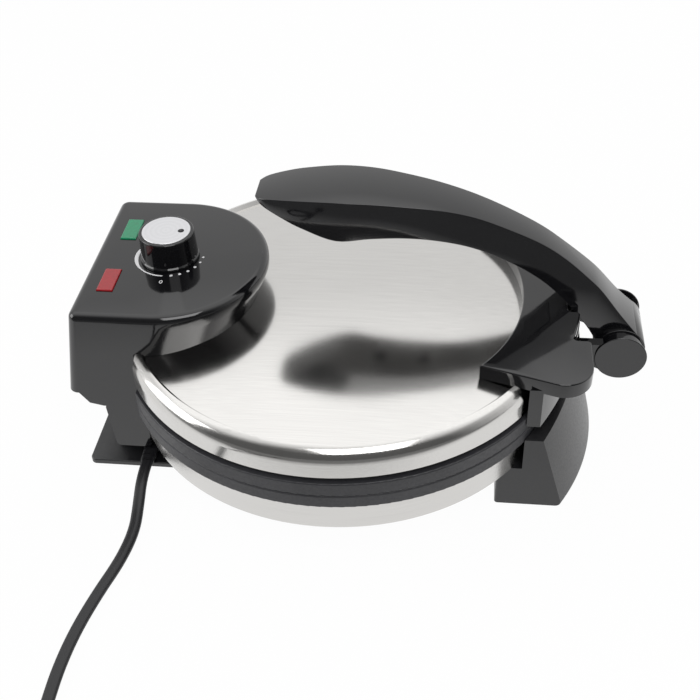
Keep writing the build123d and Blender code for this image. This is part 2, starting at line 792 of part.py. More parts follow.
with BuildPart() as foot_cavity:
    with BuildSketch(radial_plane):
        with BuildLine():
            Polyline(
                (foot_back_reach / 2, -1),
                (foot_flare_radius + foot_slope - foot_wall, -1),
                (cavity_top_radius, roof_bottom),
                (foot_back_reach / 2, roof_bottom),
                close=True,
            )
        make_face()
    revolve(axis=plate_axis)
    with BuildSketch(level(-1)):
        with Locations((foot_back_reach + foot_wall, 0)):
            Rectangle(foot_flare_radius, 2 * (foot_half_width - foot_wall), align=(Align.MIN, Align.CENTER))
    extrude(amount=roof_bottom + 2, mode=Mode.INTERSECT)

with BuildPart() as front_foot:
    with BuildSketch(radial_plane):
        with BuildLine():
            Polyline(
                (foot_back_reach / 2, 0),
                (foot_flare_radius, 0),
                (foot_top_radius, foot_crown_height),
                (foot_inner_radius, foot_crown_height),
                (foot_inner_radius, skirt_bottom),
                (foot_back_reach / 2, skirt_bottom),
                close=True,
            )
        make_face()
        fillet(vertices().sort_by_distance((foot_flare_radius, 0, 0))[0], foot_edge_radius)
    revolve(axis=plate_axis)
    add(foot_band.part, mode=Mode.INTERSECT)
    fillet(front_foot.edges().filter_by(Axis.Z).group_by(Axis.X)[0], 2.0)
    add(foot_cavity.part, mode=Mode.SUBTRACT)
    with BuildSketch(level(foot_plate_lift + foot_plate_thickness)):
        with Locations(*post_places):
            Circle(screw_head_radius)
    extrude(amount=roof_bottom - foot_plate_lift - foot_plate_thickness + 1)
    with BuildSketch(level(foot_plate_lift)):
        with Locations(*post_places):
            Circle(screw_radius + running_gap)
    extrude(amount=post_screw_length + foot_plate_thickness, mode=Mode.SUBTRACT)
    with BuildSketch(level(roof_bottom - 1)):
        with Locations(*foot_screw_places):
            Circle(screw_radius + running_gap)
    extrude(amount=foot_wall + 2, mode=Mode.SUBTRACT)
save("front_foot", front_foot)

with BuildPart() as foot_plate:
    with BuildSketch(level(foot_plate_lift)):
        Circle(foot_flare_radius - foot_slope * (foot_plate_lift + foot_plate_thickness) - foot_wall - seat_gap)
        with Locations((foot_back_reach + foot_wall + seat_gap, 0)):
            Rectangle(
                foot_flare_radius,
                2 * (foot_half_width - foot_wall - seat_gap),
                align=(Align.MIN, Align.CENTER),
                mode=Mode.INTERSECT,
            )
        with Locations(*post_places):
            Circle(screw_radius + running_gap, mode=Mode.SUBTRACT)
    extrude(amount=foot_plate_thickness)
    with BuildSketch(level(foot_plate_lift)):
        with Locations(*post_places):
            Circle(screw_head_radius + 0.4)
    extrude(amount=screw_head_height / 2, mode=Mode.SUBTRACT)
save("foot_plate", foot_plate)

foot_plate_screws = screws(post_places, foot_plate_lift - screw_head_height / 2, post_screw_length)
save("foot_plate_screws", foot_plate_screws)
foot_screws = screws(foot_screw_places, roof_bottom - screw_head_height, foot_wall + cover_sheet + 2.0)
save("foot_screws", foot_screws)

# ---- Front bracket, which carries the press handle's pivot ----
pivot_at = (pivot_reach, pivot_height)
notch_x = sqrt(bracket_notch_radius**2 - bracket_notch_half_width**2)
front_edge_x = bracket_corner[0] + bracket_corner_radius
ear_mouth = 2 * (pivot_reach + ear_radius - bracket_skirt_radius)
skirt_band = crown_band(
    bracket_skirt_half_width, 0, bracket_lower_edge, bracket_inner_radius / 2, foot_flare_radius
)

with BuildPart() as bracket_skirt:
    with BuildSketch(level(foot_crown_height / 2)):
        Circle(bracket_skirt_radius)
        Circle(bracket_skirt_inner_radius, mode=Mode.SUBTRACT)
        with Locations((bracket_inner_radius / 2, (bracket_far_skirt - bracket_skirt_half_width) / 2)):
            Rectangle(
                bracket_inner_radius,
                bracket_skirt_half_width + bracket_far_skirt,
                align=(Align.MIN, Align.CENTER),
                mode=Mode.INTERSECT,
            )
    extrude(amount=bracket_bottom_height + 2 - foot_crown_height / 2)
    add(skirt_band.part, mode=Mode.SUBTRACT)
    with BuildSketch(level(bracket_bottom_height - neck_slot_drop)):
        with Locations((neck_slot_reach, 0)):
            Rectangle(neck_slot_length, 2 * neck_slot_half_width, align=(Align.MIN, Align.CENTER))
    extrude(amount=2 * neck_slot_drop, mode=Mode.SUBTRACT)

with BuildPart() as front_bracket:
    with BuildSketch(level(bracket_bottom_height)) as bracket_plan:
        with BuildLine():
            ThreePointArc(
                (bracket_tip[0], -bracket_tip[1]), (bracket_inner_radius, 0), (bracket_tip[0], bracket_tip[1])
            )
            Line((bracket_tip[0], bracket_tip[1]), bracket_far_side)
            RadiusArc(bracket_far_side, (front_edge_x, bracket_far_corner), bracket_far_radius)
            Line((front_edge_x, bracket_far_corner), (front_edge_x, bracket_notch_half_width))
            Line((front_edge_x, bracket_notch_half_width), (notch_x, bracket_notch_half_width))
            ThreePointArc(
                (notch_x, bracket_notch_half_width), (bracket_notch_radius, 0), (notch_x, -bracket_notch_half_width)
            )
            Line((notch_x, -bracket_notch_half_width), (front_edge_x, -bracket_notch_half_width))
            Line((front_edge_x, -bracket_notch_half_width), (front_edge_x, -bracket_corner[1]))
            RadiusArc(
                (front_edge_x, -bracket_corner[1]),
                (bracket_side[0], -bracket_side[1]),
                bracket_corner_radius,
            )
            Line((bracket_side[0], -bracket_side[1]), (bracket_tip[0], -bracket_tip[1]))
        make_face()
        with Locations((neck_slot_reach, 0)):
            Rectangle(
                neck_slot_length,
                2 * neck_slot_half_width,
                align=(Align.MIN, Align.CENTER),
                mode=Mode.SUBTRACT,
            )
    extrude(amount=bracket_thickness)
    inner_corners = front_bracket.edges().filter_by(Axis.Z)
    fillet(inner_corners.filter_by(lambda e: abs(e.center().Y) < bracket_notch_half_width + 2.5), 2.5)
    fillet(front_bracket.edges().group_by(Axis.Z)[-1], 1.0)
    add(bracket_skirt.part)
    with BuildSketch(upright(0)):
        with BuildLine():
            Polyline(
                (bracket_skirt_inner_radius + 0.4, pivot_height + ear_top_rise),
                (pivot_reach - 6, pivot_height + ear_top_rise),
                (pivot_reach, pivot_height),
                (pivot_reach - 7.5, pivot_height - ear_radius + 2.2),
                (bracket_skirt_inner_radius + 0.4, pivot_height - 2.0),
                close=True,
            )
        make_face()
        with Locations(pivot_at):
            Circle(ear_radius)
    extrude(amount=ear_outer, both=True)
    with BuildSketch(upright(0)):
        with Locations((bracket_skirt_radius, pivot_height)):
            Rectangle(ear_mouth, 4 * ear_radius, align=(Align.MIN, Align.CENTER))
    extrude(amount=ear_inner, both=True, mode=Mode.SUBTRACT)
    with BuildSketch(upright(0)):
        with Locations(pivot_at):
            Circle(pivot_bolt_radius + running_gap)
    extrude(amount=ear_outer, both=True, mode=Mode.SUBTRACT)
    add(lid_space.part, mode=Mode.SUBTRACT)
    with BuildSketch(level(bracket_bottom_height - 3)):
        with Locations(*bracket_screw_places):
            Circle(screw_radius + running_gap)
    extrude(amount=3 + bracket_thickness - 2.5, mode=Mode.SUBTRACT)
save("front_bracket", front_bracket)

# The screws come up through the shell from inside the lid.
bracket_screw_seat = crease_height - shell_sheet - 0.4
bracket_screws = screws(
    bracket_screw_places, bracket_screw_seat - screw_head_height, bracket_top_height - 3.2 - bracket_screw_seat
)
save("bracket_screws", bracket_screws)
with BuildPart() as pivot_bolt:
    with BuildSketch(upright(0)):
        with Locations(pivot_at):
            Circle(pivot_bolt_radius)
    extrude(amount=ear_outer, both=True)
save("pivot_bolt", pivot_bolt)

with BuildPart() as pivot_caps:
    for side in (-1, 1):
        with BuildSketch(upright(side * (ear_outer + cap_thickness / 2))):
            with Locations(pivot_at):
                Circle(cap_radius)
        extrude(amount=cap_thickness / 2, both=True)
    fillet(pivot_caps.edges(), 0.4)
save("pivot_caps", pivot_caps)

# ---- Press handle, folded back over the lid ----
# Each point of the side view is (behind the pivot, above the pivot), and of the plan (behind it, half width).
handle_top = [(220.0, 98.2), (172.0, 102.4), (112.0, 96.0), (52.0, 71.6), (12.0, 37.2), (-9.5, 12.0)]
handle_beak = [(220.0, 96.6), (197.0, 84.6), (172.0, 75.6)]
handle_belly = [(172.0, 75.6), (132.0, 78.0), (92.0, 70.4), (62.0, 55.8), (32.5, 29.2), (14.4, 4.2)]
handle_plan = [(220.0, 9.0), (215.0, 14.0), (192.0, 19.8), (167.0, 21.8), (132.0, 19.8), (92.0, 16.4), (52.0, 14.2),
               (22.0, 14.6), (0.0, 17.3)]


def from_pivot(points):
    """Points of the handle's side view, given from the pivot, as reaches and heights."""
    return [(pivot_reach - behind, pivot_height + above) for behind, above in points]


def drawn_in(points, wall):
    """Points of a curve moved square to it by a wall, to the right of its direction."""
    moved = []
    for index, (along, up) in enumerate(points):
        before = points[max(index - 1, 0)]
        after = points[min(index + 1, len(points) - 1)]
        run = hypot(after[0] - before[0], after[1] - before[1])
        moved.append((along + wall * (after[1] - before[1]) / run, up - wall * (after[0] - before[0]) / run))
    return moved


def handle_side(inset=0.0):
    """Side outline of the handle's arch, and the same drawn in by a wall."""
    top = drawn_in(from_pivot(handle_top), inset)
    belly = drawn_in(from_pivot(handle_belly), -inset)
    beak = drawn_in(from_pivot(handle_beak), -inset)
    start = (beak[0][0] + 6 * inset, beak[0][1] - 2 * inset)
    with BuildSketch(upright(0)) as outline:
        with BuildLine():
            if inset:
                top = [(start[0] + 2, top[0][1])] + top[1:]
                beak = [start, ((start[0] + belly[0][0]) / 2, (start[1] + belly[0][1]) / 2 - 0.6), belly[0]]
            Spline(*top)
            Line(top[-1], pivot_at)
            Line(pivot_at, belly[-1])
            Spline(*belly)
            ThreePointArc(beak[0], beak[1], belly[0])
            Line(beak[0], top[0])
        make_face()
    return outline


def handle_top_view(inset=0.0):
    """Plan of the handle: a blunt tip, a wide grip and a waist before the hub."""
    edge = [(pivot_reach - behind, side - inset) for behind, side in handle_plan]
    with BuildSketch(level(0)) as plan:
        with BuildLine():
            half = Spline(*edge)
            front = Line(edge[-1], (front_reach + 5, edge[-1][1]))
            Line((front_reach + 5, edge[-1][1]), (front_reach + 5, -edge[-1][1]))
            mirror(half, about=Plane.XZ)
            mirror(front, about=Plane.XZ)
            Line((edge[0][0], -edge[0][1]), (edge[0][0], edge[0][1]))
        make_face()
    return plan


def handle_solid(inset=0.0):
    """The handle's arch without its hub."""
    side = handle_side(inset)
    plan = handle_top_view(inset)
    with BuildPart() as arch:
        extrude(side.sketch, amount=hub_radius * 2, both=True)
        extrude(plan.sketch, amount=2 * housing_height, mode=Mode.INTERSECT)
    return arch


handle_outer = handle_solid()
handle_inner = handle_solid(handle_wall)
window_outline = from_pivot(
    [(160.0, 90.2), (112.0, 86.2), (72.0, 71.2), (44.0, 52.2), (44.0, -13.8), (160.0, -13.8)]
)
hollow_front_reach = pivot_reach - 26.0
handle_screws_at = [           # reach, head's seat, top of the post
    (pivot_reach - behind, pivot_height + seat, pivot_height + roof)
    for behind, seat, roof in ((147.0, 78.8, 99.8), (117.0, 76.8, 95.5))
]
hub_sides = 2 * hub_radius


def handle_window(inset):
    """Opening in the handle's underside for its cover, inset from the handle's plan."""
    plan = handle_top_view(inset)
    with BuildPart() as window:
        with BuildSketch(upright(0)) as outline:
            with BuildLine():
                Polyline(*window_outline, close=True)
            make_face()
            if inset > handle_wall + 1.0:
                offset(amount=handle_wall + 1.0 - inset)
        extrude(amount=hub_sides, both=True)
        extrude(plan.sketch, amount=2 * housing_height, mode=Mode.INTERSECT)
    return window


shell_window = handle_window(handle_wall + 1.0)
cover_window = handle_window(handle_wall + 1.0 + seat_gap)
screw_columns = [(along, 0) for along, _, _ in handle_screws_at]

with BuildPart() as handle_hollow:
    add(handle_inner.part)
    with BuildSketch(upright(0)):
        with Locations((hollow_front_reach, 0)):
            Rectangle(2 * front_reach, 2 * housing_height, align=(Align.MAX, Align.MIN))
    extrude(amount=hub_sides, both=True, mode=Mode.INTERSECT)

with BuildPart() as handle_shell:
    add(handle_outer.part)
    fillet(handle_shell.edges().filter_by(lambda e: e.length > 230), handle_edge_radius)
    with BuildSketch(upright(0)):
        with Locations(pivot_at):
            Circle(hub_radius)
    extrude(amount=hub_half_width, both=True)
    add(handle_hollow.part, mode=Mode.SUBTRACT)
    add(shell_window.part, mode=Mode.SUBTRACT)
    for along, seat, roof in handle_screws_at:
        with BuildSketch(level(seat + handle_wall + seat_gap)):
            with Locations((along, 0)):
                Circle(screw_head_radius)
        extrude(amount=roof - seat - handle_wall - seat_gap)
    with BuildSketch(upright(0)):
        with Locations(pivot_at):
            Circle(pivot_bolt_radius + running_gap)
    extrude(amount=hub_half_width, both=True, mode=Mode.SUBTRACT)
    with BuildSketch(level(housing_height)):
        with Locations(*screw_columns):
            Circle(screw_radius + running_gap)
    extrude(amount=handle_screws_at[0][1] + 14.0 - housing_height, mode=Mode.SUBTRACT)
save("handle_shell", handle_shell)

with BuildPart() as handle_cover:
    add(handle_outer.part)
    add(cover_window.part, mode=Mode.INTERSECT)
    add(handle_inner.part, mode=Mode.SUBTRACT)
    with BuildSketch(level(housing_height)):
        with Locations(*screw_columns):
            Circle(screw_radius + running_gap)
    extrude(amount=housing_height, mode=Mode.SUBTRACT)
    for along, seat, _ in handle_screws_at:
        with BuildSketch(level(seat)):
            with Locations((along, 0)):
                Circle(screw_head_radius + 0.4)
        extrude(amount=-20, mode=Mode.SUBTRACT)
save("handle_cover", handle_cover)

with BuildPart() as handle_screws:
    for along, seat, _ in handle_screws_at:
        with BuildSketch(level(seat)):
            with Locations((along, 0)):
                Circle(screw_head_radius)
        extrude(amount=-screw_head_height)
        with BuildSketch(level(seat)):
            with Locations((along, 0)):
                Circle(screw_radius)
        extrude(amount=12.0)
save("handle_screws", handle_screws)

# ---- Cord, strain relief, coil and plug ----
block_side = -block_half_width
cord_radius = cord_diameter / 2
relief_end = block_side - strain_relief_length

with BuildPart() as strain_relief:
    for along, size in ((0, strain_relief_root), (strain_relief_length, strain_relief_tip)):
        with BuildSketch(upright(block_side - along)):
            with Locations((-cord_exit_reach, cord_exit_height)):
                RectangleRounded(*size, 2.4)
    loft()
    for groove in range(1, 5):
        width, height = (
            root + (tip - root) * groove / 5 for root, tip in zip(strain_relief_root, strain_relief_tip)
        )
        with BuildSketch(upright(block_side - groove * strain_relief_length / 5)):
            with Locations((-cord_exit_reach, cord_exit_height)):
                RectangleRounded(width + 1, height + 1, 2.9)
                RectangleRounded(width - 1.2, height - 1.2, 1.8, mode=Mode.SUBTRACT)
        extrude(amount=1.2, mode=Mode.SUBTRACT)
save("strain_relief", strain_relief)

floor_line = cord_radius
coil_line = cord_radius + coil_lift
cord_route = [
    (-cord_exit_reach, relief_end, cord_exit_height),
    (-cord_exit_reach, relief_end - 14.0, cord_exit_height),
    (-119.4, relief_end - 32.0, floor_line + 1.4),
    (-117.2, -123.0, floor_line),
    (-119.6, -146.0, floor_line),
    (-126.4, -171.0, floor_line),
    (-131.6, -197.0, floor_line),
    (-133.6, -222.0, floor_line),
    (-132.8, -246.0, floor_line),
    (-131.6, -270.0, coil_line),
    (-131.6, -292.0, coil_line),
]


def placed(point):
    """Point on the cord, given from under the plates' axis."""
    return Vector(axis_x + point[0], point[1], point[2])


def cord_radii(points):
    """Largest tangent arc that each corner of a route allows."""
    corners = []
    for before, here, after in zip(points, points[1:], points[2:]):
        turn = radians((here - before).get_angle(after - here))
        corners.append(0.45 * min((here - before).length, (after - here).length) / tan(turn / 2))
    return corners


cord_points = [placed(point) for point in cord_route]
radii = cord_radii(cord_points)
print("cord radii", [round(r, 1) for r in radii])

with BuildPart() as power_cord:
    with BuildLine() as cord_line:
        cord_wire = FilletPolyline(*cord_points, radius=radii)
    with BuildSketch(Plane(origin=cord_wire @ 0, z_dir=cord_wire % 0)):
        Circle(cord_radius)
    sweep(path=cord_line.line)
save("power_cord", power_cord)
cord_length = cord_wire.length
print("cord", round(cord_length, 1), "fill", power_cord.part.volume / (pi * cord_radius**2 * cord_length))

# The coil: two layers of turns on one centre, the lower one winding in and the upper one out again, with a
# half turn between them that climbs and is drawn in a little to clear its neighbours.
climb_turns = 0.5
climb_draw = 2.5
turn_radius_out = coil_mean_radius + coil_pitch * coil_turns / 2
turn_radius_in = coil_mean_radius - coil_pitch * coil_turns / 2
total_turns = 2 * coil_turns + climb_turns
coil_centre = (cord_route[-1][0] - turn_radius_out, cord_route[-1][1] - cord_diameter)
plug_line = plug_size[2] / 2
lead_out = 34.0
lead_level = 16.0


def coil_point(turn):
    """Point of the coil after a number of turns, clockwise from the front."""
    radius = turn_radius_out - coil_pitch * turn
    height = coil_line
    if turn > coil_turns:
        climbed = min((turn - coil_turns) / climb_turns, 1)
        radius = turn_radius_in - climb_draw * sin(pi * climbed)
        height = coil_line + coil_pitch * (3 * climbed**2 - 2 * climbed**3)
    if turn > coil_turns + climb_turns:
        radius = turn_radius_in + coil_pitch * (turn - coil_turns - climb_turns)
    angle = -2 * pi * turn
    return placed((coil_centre[0] + radius * cos(angle), coil_centre[1] + radius * sin(angle), height))


def coil_heading(turn):
    """Unit vector along the coil, level and square to its radius where it starts and ends."""
    if turn in (0, total_turns):
        return Vector(0, -1, 0)
    step = 0.001
    return (coil_point(turn + step) - coil_point(turn - step)).normalized()


def biarc(start, heading, end, end_heading):
    """Two tangent arcs from one point and heading to another."""
    span = end - start
    both = heading + end_heading
    square = 2 * (heading.dot(end_heading) - 1)
    reach = span.dot(both)
    if abs(square) < 1e-9:
        arm = span.dot(span) / (2 * reach)
    else:
        arm = (reach - sqrt(reach**2 - square * span.dot(span))) / square
    first = start + heading * arm
    second = end - end_heading * arm
    joint = (first + second) * 0.5
    TangentArc(start, joint, tangent=heading)
    TangentArc(joint, end, tangent=second - first)


with BuildPart() as cord_coil:
    with BuildLine() as coil_wire:
        coil_start = coil_point(0)
        coil_end = coil_point(total_turns)
        Line(coil_start + Vector(0, cord_diameter, 0), coil_start)
        quarters = round(4 * total_turns)
        for quarter in range(quarters):
            turn = quarter / 4
            biarc(coil_point(turn), coil_heading(turn), coil_point(turn + 0.25), coil_heading(turn + 0.25))
        lead_start = coil_end - Vector(0, lead_level, 0)
        lead_end = Vector(coil_end.X, lead_start.Y - lead_out, plug_line)
        Line(coil_end, lead_start)
        biarc(lead_start, Vector(0, -1, 0), lead_end, Vector(0, -1, 0))
        Line(lead_end, lead_end - Vector(0, cord_diameter, 0))
    with BuildSketch(Plane(origin=coil_start + Vector(0, cord_diameter, 0), z_dir=(0, -1, 0))):
        Circle(cord_radius)
    sweep(path=coil_wire.line)
save("cord_coil", cord_coil)

coil_path = Wire(coil_wire.line.edges())
coil_length = coil_path.length
samples = [coil_path @ (i / 700) for i in range(701)]
spacing = coil_length / 700
skip = round(pi * cord_diameter / spacing)
least = min(
    (samples[i] - samples[j]).length for i in range(0, 701, 2) for j in range(i + skip, 701, 2)
)
print("coil length", round(coil_length, 1), "least gap", round(least - cord_diameter, 2))
print("whole cord", round(strain_relief_length + cord_length + coil_length, 1))

tie_gap = 0.45
tie_inner = turn_radius_in - climb_draw - cord_radius - tie_gap
tie_outer = turn_radius_out - coil_pitch / 2 + cord_radius + tie_gap
tie_top = coil_line + coil_pitch + cord_radius + tie_gap
with BuildPart() as cord_tie:
    with BuildSketch(Plane(origin=placed((*coil_centre, 0)), x_dir=(-1, 0, 0), z_dir=(0, 1, 0))):
        with Locations(((tie_inner + tie_outer) / 2, (tie_top + tie_sheet) / 2)):
            RectangleRounded(tie_outer - tie_inner + 2 * tie_sheet, tie_top + tie_sheet, 2.5)
            RectangleRounded(tie_outer - tie_inner, tie_top - tie_sheet, 1.8, mode=Mode.SUBTRACT)
    extrude(amount=tie_width / 2, both=True)
save("cord_tie", cord_tie)

plug_back = lead_end - Vector(0, cord_diameter, 0)
plug_face = Plane(origin=plug_back, x_dir=(1, 0, 0), z_dir=(0, -1, 0))
with BuildPart() as plug_body:
    with BuildSketch(plug_face):
        RectangleRounded(plug_size[1] * 0.6, plug_size[2] * 0.7, 3)
    with BuildSketch(plug_face.offset(plug_size[0] * 0.55)):
        RectangleRounded(plug_size[1], plug_size[2], 4)
    loft()
    with BuildSketch(plug_face.offset(plug_size[0] * 0.55)):
        RectangleRounded(plug_size[1], plug_size[2], 4)
    extrude(amount=plug_size[0] * 0.45)
save("plug_body", plug_body)

with BuildPart() as plug_blades:
    with BuildSketch(plug_face.offset(plug_size[0])):
        with Locations((-blade_spacing / 2, 0), (blade_spacing / 2, 0)):
            Rectangle(blade_size[1], blade_size[2])
    extrude(amount=blade_size[0])
    chamfer(plug_blades.edges().group_by(Axis.Y)[0].filter_by(Axis.Z), 0.5)
save("plug_blades", plug_blades)
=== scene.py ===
from math import cos, pi, radians, sin
import bmesh
import bpy
from mathutils import Matrix, Vector


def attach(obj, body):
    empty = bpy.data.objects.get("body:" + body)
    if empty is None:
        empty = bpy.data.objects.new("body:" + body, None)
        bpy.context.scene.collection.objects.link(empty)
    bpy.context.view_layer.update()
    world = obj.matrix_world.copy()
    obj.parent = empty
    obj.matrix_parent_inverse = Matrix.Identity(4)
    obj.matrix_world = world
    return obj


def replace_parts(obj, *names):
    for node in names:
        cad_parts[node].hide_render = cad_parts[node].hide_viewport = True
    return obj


# Looks of a round flatbread press: a brushed steel lid and base, a gloss black control housing, bracket and
# folding press handle, and a flat twin cord. Lengths are in millimetres where they are named and in metres in
# the meshes. Reaches are measured from the plates' own axis, as in the part's source.
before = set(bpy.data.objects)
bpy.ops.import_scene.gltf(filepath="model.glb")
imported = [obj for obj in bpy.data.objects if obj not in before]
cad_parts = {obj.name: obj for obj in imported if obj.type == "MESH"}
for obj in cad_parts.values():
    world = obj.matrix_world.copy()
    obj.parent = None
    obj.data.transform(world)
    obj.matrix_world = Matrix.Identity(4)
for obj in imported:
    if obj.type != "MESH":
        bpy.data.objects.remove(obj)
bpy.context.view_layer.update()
mm = 0.001
axis_x = -10.8

# ---- Sizes that the pieces here share with the solids ----
ring_radius = 140.0
panel_height = 119.6
knob_reach = -107.5
pivot_reach = 172.0
pivot_height = 73.8
relief_end = -72.5
cord_exit_reach = -120.8
cord_exit_height = 10.0
coil_turns = 1.25
coil_pitch = 7.6
climb_turns = 0.5
climb_draw = 2.5
coil_mean_radius = 38.0
plug_line = 8.5
lead_level = 16.0
lead_out = 34.0
lead_end_run = 7.0


# ---- Small helpers ----
def srgb(code):
    """Linear colour of an sRGB hex value."""
    channels = [int(code[start:start + 2], 16) / 255 for start in (1, 3, 5)]
    linear = [c / 12.92 if c <= 0.04045 else ((c + 0.055) / 1.055) ** 2.4 for c in channels]
    return (*linear, 1.0)


def per_metre(size):
    """Pattern scale for a feature of a real size in millimetres."""
    return 1 / (size * mm)


def add_node(tree, kind, settings=None, inputs=None):
    """Add a node with its settings, and values or links on its inputs."""
    made = tree.nodes.new(kind)
    for name, value in (settings or {}).items():
        setattr(made, name, value)
    for name, value in (inputs or {}).items():
        if isinstance(value, bpy.types.NodeSocket):
            tree.links.new(value, made.inputs[name])
        else:
            made.inputs[name].default_value = value
    return made


def begin_material(name, settings):
    """A material with one Principled shader, whose plain values are set on its own sockets."""
    material = bpy.data.materials.new(name)
    material.use_nodes = True
    tree = material.node_tree
    tree.nodes.clear()
    shader = add_node(tree, "ShaderNodeBsdfPrincipled", {}, settings)
    add_node(tree, "ShaderNodeOutputMaterial", {}, {"Surface": shader.outputs["BSDF"]})
    place = add_node(tree, "ShaderNodeTexCoord")
    return material, tree, shader, place.outputs["Object"]


def link_looks(tree, shader, colour, rough=None, bump=None):
    """Link a pattern's nodes to the shader's colour, roughness and normal."""
    for made, socket in ((colour, "Base Color"), (rough, "Roughness"), (bump, "Normal")):
        if made is not None:
            tree.links.new(made.outputs[0], shader.inputs[socket])


def begin():
    """Leave nothing selected, so that an operator acts on the new piece alone."""
    bpy.ops.object.select_all(action="DESELECT")


def finish_piece(piece, name, body, material, angle=35):
    """Bake the piece's place into its mesh, give it its finish and let it ride on its body."""
    begin()
    piece.select_set(True)
    bpy.context.view_layer.objects.active = piece
    bpy.ops.object.transform_apply(location=True, rotation=True, scale=True)
    bpy.ops.object.shade_smooth_by_angle(angle=radians(angle))
    piece.name = name
    piece.data.name = name
    piece.data.materials.clear()
    piece.data.materials.append(material)
    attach(piece, body)
    return piece


# ---- Camera, floor and light ----
def set_camera():
    """The photograph's camera, solved from its circles and parallel edges."""
    camera_place = Vector((64.97, -538.96, 507.55)) * mm
    heading = 0.134
    pitch = 0.700
    roll = -0.041
    focal_length = 55.8
    film_width = 36.0
    data = bpy.data.cameras.new("camera")
    data.lens = focal_length
    data.sensor_width = film_width
    data.clip_start = 10 * mm
    camera = bpy.data.objects.new("camera", data)
    bpy.context.scene.collection.objects.link(camera)
    turned = Matrix.Rotation(heading, 4, "Z") @ Matrix.Rotation(pi / 2 - pitch, 4, "X")
    camera.matrix_world = Matrix.Translation(camera_place) @ turned @ Matrix.Rotation(roll, 4, "Z")
    bpy.context.scene.camera = camera


def seen_white(tree):
    """Share that is 1 where the camera, a reflection or a clear material looks."""
    path = add_node(tree, "ShaderNodeLightPath")
    looks = add_node(tree, "ShaderNodeMath", {"operation": "ADD", "use_clamp": True},
                     {0: path.outputs["Is Camera Ray"], 1: path.outputs["Is Glossy Ray"]})
    looks = add_node(tree, "ShaderNodeMath", {"operation": "ADD", "use_clamp": True},
                     {0: looks.outputs[0], 1: path.outputs["Is Transmission Ray"]})
    return looks.outputs[0]


def set_world():
    """White surroundings to look at, a darker room in front for mirrors, and a softer fill for the light."""
    white = srgb("#ffffff")
    fill_strength = 0.5
    world = bpy.data.worlds.new("studio")
    bpy.context.scene.world = world
    world.use_nodes = True
    tree = world.node_tree
    tree.nodes.clear()
    path = add_node(tree, "ShaderNodeLightPath")
    direction = add_node(tree, "ShaderNodeTexCoord")
    parts = add_node(tree, "ShaderNodeSeparateXYZ", {}, {0: direction.outputs["Generated"]})
    front = add_node(tree, "ShaderNodeMapRange", {}, {
        "Value": parts.outputs["Y"], "From Min": -0.55, "From Max": 0.05, "To Min": 0.12, "To Max": 0.95,
    })
    overhead = add_node(tree, "ShaderNodeMapRange", {}, {
        "Value": parts.outputs["Z"], "From Min": 0.61, "From Max": 0.72, "To Min": 0.96, "To Max": 1.5,
    })
    bright = add_node(tree, "ShaderNodeMath", {"operation": "MULTIPLY"}, {
        0: front.outputs[0], 1: overhead.outputs[0],
    })
    bright = add_node(tree, "ShaderNodeMix", {"data_type": "FLOAT"}, {
        "Factor": path.outputs["Is Camera Ray"], "A": bright.outputs[0], "B": 1.0,
    })
    fill = add_node(tree, "ShaderNodeBackground", {}, {"Color": white, "Strength": fill_strength})
    seen = add_node(tree, "ShaderNodeBackground", {}, {"Color": white, "Strength": bright.outputs[0]})
    mixed = add_node(tree, "ShaderNodeMixShader", {}, {
        0: seen_white(tree), 1: fill.outputs[0], 2: seen.outputs[0],
    })
    add_node(tree, "ShaderNodeOutputWorld", {}, {"Surface": mixed.outputs[0]})


def set_floor():
    """A white sweep that keeps a faint shadow. It glows evenly white to the camera, and in mirrors its glow
    fades towards the front as painted shade.
    """
    floor_size = 8.0
    floor_drop = 0.0002
    glow_share = 0.97
    begin()
    bpy.ops.mesh.primitive_plane_add(size=floor_size, location=(0, 0, -floor_drop))
    floor = bpy.context.object
    floor.name = "studio_floor"
    material = bpy.data.materials.new("white_paper_sweep")
    material.use_nodes = True
    tree = material.node_tree
    tree.nodes.clear()
    paper = add_node(tree, "ShaderNodeBsdfDiffuse", {}, {"Color": srgb("#f4f4f4")})
    path = add_node(tree, "ShaderNodeLightPath")
    place = add_node(tree, "ShaderNodeTexCoord")
    parts = add_node(tree, "ShaderNodeSeparateXYZ", {}, {0: place.outputs["Object"]})
    # Painted shade: in mirrors the sweep's glow fades towards the front, standing in for a darker room there.
    front = add_node(tree, "ShaderNodeMapRange", {}, {
        "Value": parts.outputs["Y"], "From Min": -0.34, "From Max": -0.17, "To Min": 0.2, "To Max": 1.0,
    })
    bright = add_node(tree, "ShaderNodeMath", {"operation": "MAXIMUM"},
                      {0: front.outputs[0], 1: path.outputs["Is Camera Ray"]})
    glow = add_node(tree, "ShaderNodeEmission", {}, {"Color": srgb("#ffffff"), "Strength": bright.outputs[0]})
    share = add_node(tree, "ShaderNodeMath", {"operation": "MULTIPLY"}, {0: seen_white(tree), 1: glow_share})
    mixed = add_node(tree, "ShaderNodeMixShader", {}, {
        0: share.outputs[0], 1: paper.outputs[0], 2: glow.outputs[0],
    })
    add_node(tree, "ShaderNodeOutputMaterial", {}, {"Surface": mixed.outputs[0]})
    floor.data.materials.append(material)


def add_lamp(name, place, aim, size, power, mirrored=True):
    """Square soft light, in metres and watts, aimed at a point, and seen in mirrors or not."""
    data = bpy.data.lights.new(name, "AREA")
    data.size = size
    data.energy = power
    lamp = bpy.data.objects.new(name, data)
    lamp.location = place
    lamp.rotation_euler = (Vector(aim) - Vector(place)).to_track_quat("-Z", "Y").to_euler()
    lamp.visible_glossy = mirrored
    bpy.context.scene.collection.objects.link(lamp)


bpy.context.scene.view_settings.view_transform = "Standard"
set_camera()
set_world()
set_floor()
add_lamp("key_light", (0.25, -0.9, 1.35), (0, 0, 0.05), 0.9, 9.0)
add_lamp("left_light", (-1.35, -0.25, 0.6), (0, 0, 0.05), 0.8, 6.0)
add_lamp("back_light", (0.5, 1.2, 1.0), (0, 0, 0.05), 0.9, 4.0, mirrored=False)


